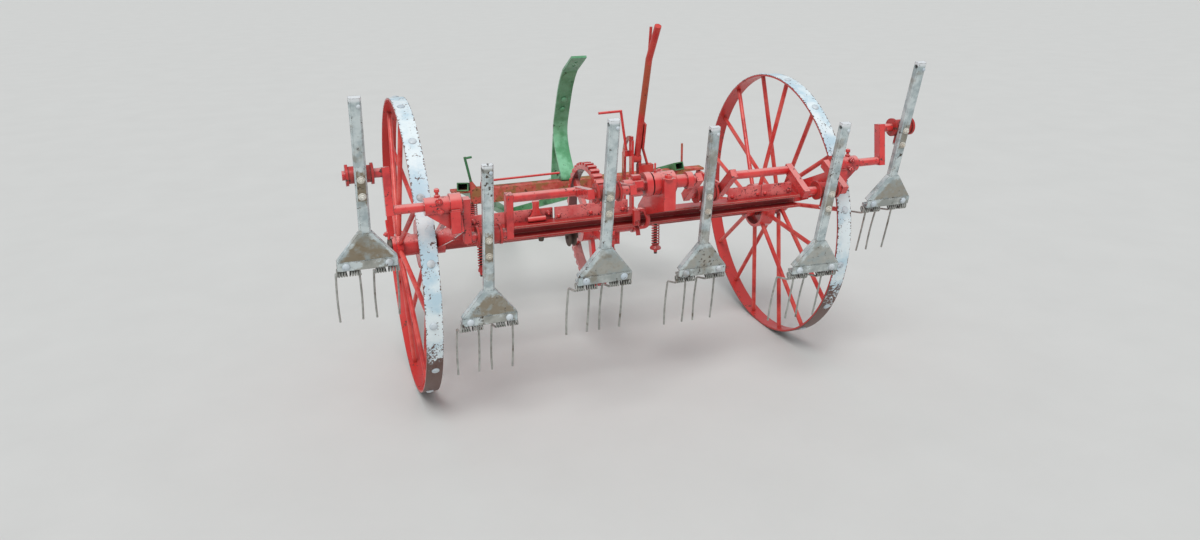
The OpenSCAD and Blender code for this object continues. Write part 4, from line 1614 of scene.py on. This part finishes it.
@dataclass
class SeatLeaf:
    """The sprung leaf that carried the seat: one long curve with a flat top, its stay and its two bolts."""

    x: float = -46.0
    width: float = 60.0
    thick: float = 9.0
    bend: tuple[float, float] = (227.0, 1089.0)
    lean: float = 28.0
    top: float = 132.0
    straight_from: float = 5.0
    holes: tuple[float, float] = (52.0, 90.0)
    hole_r: float = 6.0
    hole_ring: float = 19.0
    bolts: tuple[Place, ...] = ((-46.0, 321.0, 962.0), (-46.0, 342.0, 919.0))
    foot_nuts: tuple[Place, ...] = ((-46.0, 309.0, 640.0), (-46.0, 458.0, 597.0))
    stay_line: tuple[tuple[float, float], ...] = ((474.0, 592.6), (441.0, 592.6), (391.0, 806.0))
    profile: tuple[tuple[float, float], ...] = (
        (324.0, 635.5), (300.0, 635.5), (286.0, 635.5), (284.0, 641.0), (300.0, 668.0), (331.0, 703.0),
        (360.0, 740.0), (379.0, 780.0), (385.0, 815.0), (379.0, 850.0), (362.0, 886.0), (340.0, 928.0),
        (319.0, 970.0), (295.0, 1013.0), (264.0, 1053.0), (238.0, 1078.5), (231.0, 1085.2), (228.0, 1088.0),
    )

    def plate_point(self, distance: np.ndarray) -> np.ndarray:
        """Points on the flat top at distances from its bend: y = yb - d cos lean, z = zb + d sin lean."""
        lean = math.radians(self.lean)
        y = self.bend[0] - distance * math.cos(lean)
        return np.stack([y, self.bend[1] + distance * math.sin(lean)], axis=-1)

    def line(self) -> np.ndarray:
        """The leaf's middle line in Y and Z, with its corners cut three times at a quarter from each end.

        Returns:
            The points from the foot to the end of the flat top.
        """
        line = np.concatenate([np.array(self.profile), self.plate_point(np.array([self.straight_from]))])
        for _ in range(3):
            early = line[:-1] * 0.75 + line[1:] * 0.25
            late = line[:-1] * 0.25 + line[1:] * 0.75
            cut = np.stack([early, late], axis=1)
            line = np.concatenate([line[:1], cut.reshape(-1, 2), line[-1:]])
        return np.concatenate([line, self.plate_point(np.array([self.top]))])

    def sheet(self, start: float, length: float) -> tuple[np.ndarray, np.ndarray]:
        """The leaf laid flat: columns of distance and width, with a ring of faces round each hole.

        Args:
            start: distance at which the flat top's own measure begins.
            length: distance of the far end.

        Returns:
            The points and the faces.
        """
        half = self.width / 2.0
        side = np.linspace(-half, half, 13)
        near, far = start + self.holes[0], start + self.holes[1]
        cuts = [0.0, near - self.hole_ring, near + self.hole_ring, far + self.hole_ring, length]
        parts = []
        for low, high, rows in ((cuts[0], cuts[1], 140), (cuts[3], cuts[4], 5)):
            ends = [np.stack([side * 0 + distance, side], -1) for distance in (low, high)]
            parts.append(patch(ends[0], ends[1], rows))
        for low, high, hole in ((cuts[1], cuts[2], near), (cuts[2], cuts[3], far)):
            run = np.linspace(low, high, 9)
            square = np.concatenate([
                np.stack([side * 0 + high, side], -1)[:-1],
                np.stack([run[::-1], run * 0 + half], -1)[:-1],
                np.stack([side * 0 + low, side[::-1]], -1)[:-1],
                np.stack([run, run * 0 - half], -1),
            ])
            middle = np.array([hole, 0.0])
            ring = middle + unit(square - middle) * self.hole_r
            parts.append(patch(square, ring, 5))
        starts = np.cumsum([0] + [len(points) for points, _ in parts[:-1]])
        faces = np.concatenate([quads + first for (_, quads), first in zip(parts, starts)])
        return np.concatenate([points for points, _ in parts]), faces

    def leaf(self) -> Surface:
        """Bends the flat sheet along the middle line: distance s goes to the line's point at s.

        Returns:
            The leaf's surface.
        """
        line = self.line()
        run = np.concatenate([[0.0], np.cumsum(np.linalg.norm(np.diff(line, axis=0), axis=1))])
        flat, faces = self.sheet(run[-1] - self.top, run[-1])
        place, ahead, behind = (
            np.stack([np.interp(flat[:, 0] + step, run, line[:, k]) for k in range(2)], axis=-1)
            for step in (0.0, 2.0, -2.0)
        )
        course = unit(ahead - behind)
        points = np.stack([self.x + flat[:, 1], place[:, 0], place[:, 1]], axis=-1)
        normals = np.stack([course[:, 0] * 0.0, -course[:, 1], course[:, 0]], axis=-1)
        edge = points[faces]
        across = np.cross(edge[:, 1] - edge[:, 0], edge[:, 3] - edge[:, 0])
        right = np.einsum("ij,ij->i", across, normals[faces[:, 0]]) > 0
        faces = np.where(right[:, None], faces, faces[:, ::-1])
        return slab(points, faces, normals, self.thick)

    def stay(self) -> Surface:
        """The flat stay from the cross tie up to the front of the leaf."""
        corners = np.array([[self.x, y, z] for y, z in self.stay_line])
        return ribbon(rounded_path(corners, 14.0), self.width, self.thick, ALONG_X)

    def heads(self) -> Surface:
        """Two dome heads on the rear of the leaf, where the photo shows them, and two nuts at its foot."""
        places = np.array(self.bolts) + [0.0, -4.0, -2.0]
        out = np.tile(unit(np.array([0.0, -0.89, -0.45])), (len(places), 1))
        nuts = nut(17.0, 9.0, 6).copies(along(UPWARD, np.array(self.foot_nuts)))
        return joined([dome(12.0, 10.0).copies(facing(places, out)), nuts])

    def build(self) -> None:
        """Puts the curved leaf and its stay in place of the CAD's straight-sided one."""
        both = joined([self.leaf(), self.stay()])
        leaf = make_piece("seat_leaf", both, LEAF_GREEN.material(3.0), "frame")
        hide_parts("seat_stand")
        make_piece("leaf_bolts", self.heads(), GREEN_FITTING, "frame")


@dataclass
class Studio:
    """A pale floor, soft light and the camera at the photograph's place."""

    camera_place: Place = (-1069.3, -3082.9, 1551.0)
    lens: float = 26.556
    yaw: float = -19.2306
    pitch: float = 17.6888
    roll: float = -0.6072
    shift_x: float = -0.0030
    shift_y: float = -0.0359
    sensor: float = 36.0
    floor_half: float = 40.0
    sky: Colour = (0.93, 0.96, 1.0, 1.0)
    sky_strength: float = 0.56
    sun_strength: float = 1.75
    sun_softness: float = 28.0
    sun_turn: tuple[float, float, float] = (30.0, -14.0, -4.0)

    def floor(self) -> None:
        """A large plain floor with a faint grain."""
        half = self.floor_half
        mesh = bpy.data.meshes.new("studio_floor")
        corners = [(-half, -half, 0.0), (half, -half, 0.0), (half, half, 0.0), (-half, half, 0.0)]
        mesh.from_pydata(corners, [], [(0, 1, 2, 3)])
        made = bpy.data.materials.new("pale_floor")
        made.use_nodes = True
        made.node_tree.nodes.clear()
        tree = Tree(made.node_tree)
        grain = tree.noise(tree.place(), 3.0, 4.0, 0.6)
        colour = tree.mix(grain, srgb(206, 206, 203), srgb(214, 214, 211))
        shader = tree.node("ShaderNodeBsdfPrincipled", Base_Color=colour)
        shader.inputs["Roughness"].default_value = 0.9
        shader.inputs["Specular IOR Level"].default_value = 0.1
        out = made.node_tree.nodes.new("ShaderNodeOutputMaterial")
        tree.put(out.inputs["Surface"], shader.outputs[0])
        mesh.materials.append(made)
        floor = bpy.data.objects.new("studio_floor", mesh)
        bpy.context.scene.collection.objects.link(floor)

    def lights(self) -> None:
        """An even sky and one very soft sun from behind the camera's left shoulder."""
        world = bpy.data.worlds.new("studio_sky")
        world.use_nodes = True
        background = world.node_tree.nodes["Background"]
        background.inputs["Color"].default_value = self.sky
        background.inputs["Strength"].default_value = self.sky_strength
        bpy.context.scene.world = world
        sun = bpy.data.lights.new("soft_sun", "SUN")
        sun.energy = self.sun_strength
        sun.angle = math.radians(self.sun_softness)
        lamp = bpy.data.objects.new("soft_sun", sun)
        lamp.rotation_euler = [math.radians(angle) for angle in self.sun_turn]
        bpy.context.scene.collection.objects.link(lamp)

    def camera(self) -> None:
        """The camera: turned by yaw about Z, laid down by the pitch, rolled a little."""
        data = bpy.data.cameras.new("photo_camera")
        data.lens = self.lens
        data.sensor_width = self.sensor
        data.sensor_fit = "HORIZONTAL"
        data.shift_x = self.shift_x
        data.shift_y = self.shift_y
        data.clip_end = 200.0
        camera = bpy.data.objects.new("photo_camera", data)
        yaw = Matrix.Rotation(math.radians(self.yaw), 4, "Z")
        pitch = Matrix.Rotation(math.radians(90.0 - self.pitch), 4, "X")
        roll = Matrix.Rotation(math.radians(self.roll), 4, "Z")
        place = Matrix.Translation(DRAWING.point(np.array(self.camera_place)))
        camera.matrix_world = place @ yaw @ pitch @ roll
        bpy.context.scene.collection.objects.link(camera)
        bpy.context.scene.camera = camera

    def build(self) -> None:
        """Sets the whole stage."""
        self.floor()
        self.lights()
        self.camera()
        bpy.context.scene.view_settings.view_transform = "Standard"


NUT_MATERIAL = NUT.material()
RIVET_MATERIAL = RIVET.material()
TINE_MATERIAL = TINE.material()
RED_FITTING = RED.material(11.5)
DARK_FITTING = BARE.material(3.0)
GREEN_FITTING = LEAF_GREEN.material(4.0)


def main() -> None:
    """Builds the sub-assemblies in order."""
    logging.basicConfig(level=logging.INFO, format="%(name)s: %(message)s")
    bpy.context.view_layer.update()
    Studio().build()
    Wheel("left", -1.0, 11.25, 7.0).build()
    Wheel("right", 1.0, 32.5, 3.0).build()
    forks = [
        Fork(1, 12.9, 0.0, 0.0, 0.95),
        Fork(2, 10.0, -11.0, 0.0, 0.9),
        Fork(3, 11.6, -9.0, 0.0, 0.6),
        Fork(4, 8.9, -8.0, 0.0, 0.6),
        Fork(5, 11.1, -9.0, 2.0, 0.5),
        Fork(6, 13.2, -16.0, 0.0, 0.75),
    ]
    for fork in forks:
        fork.build()
    CrankLine().build()
    Springs().build()
    FrameDress().build()
    SeatLeaf().build()


if __name__ == "__main__":
    main()
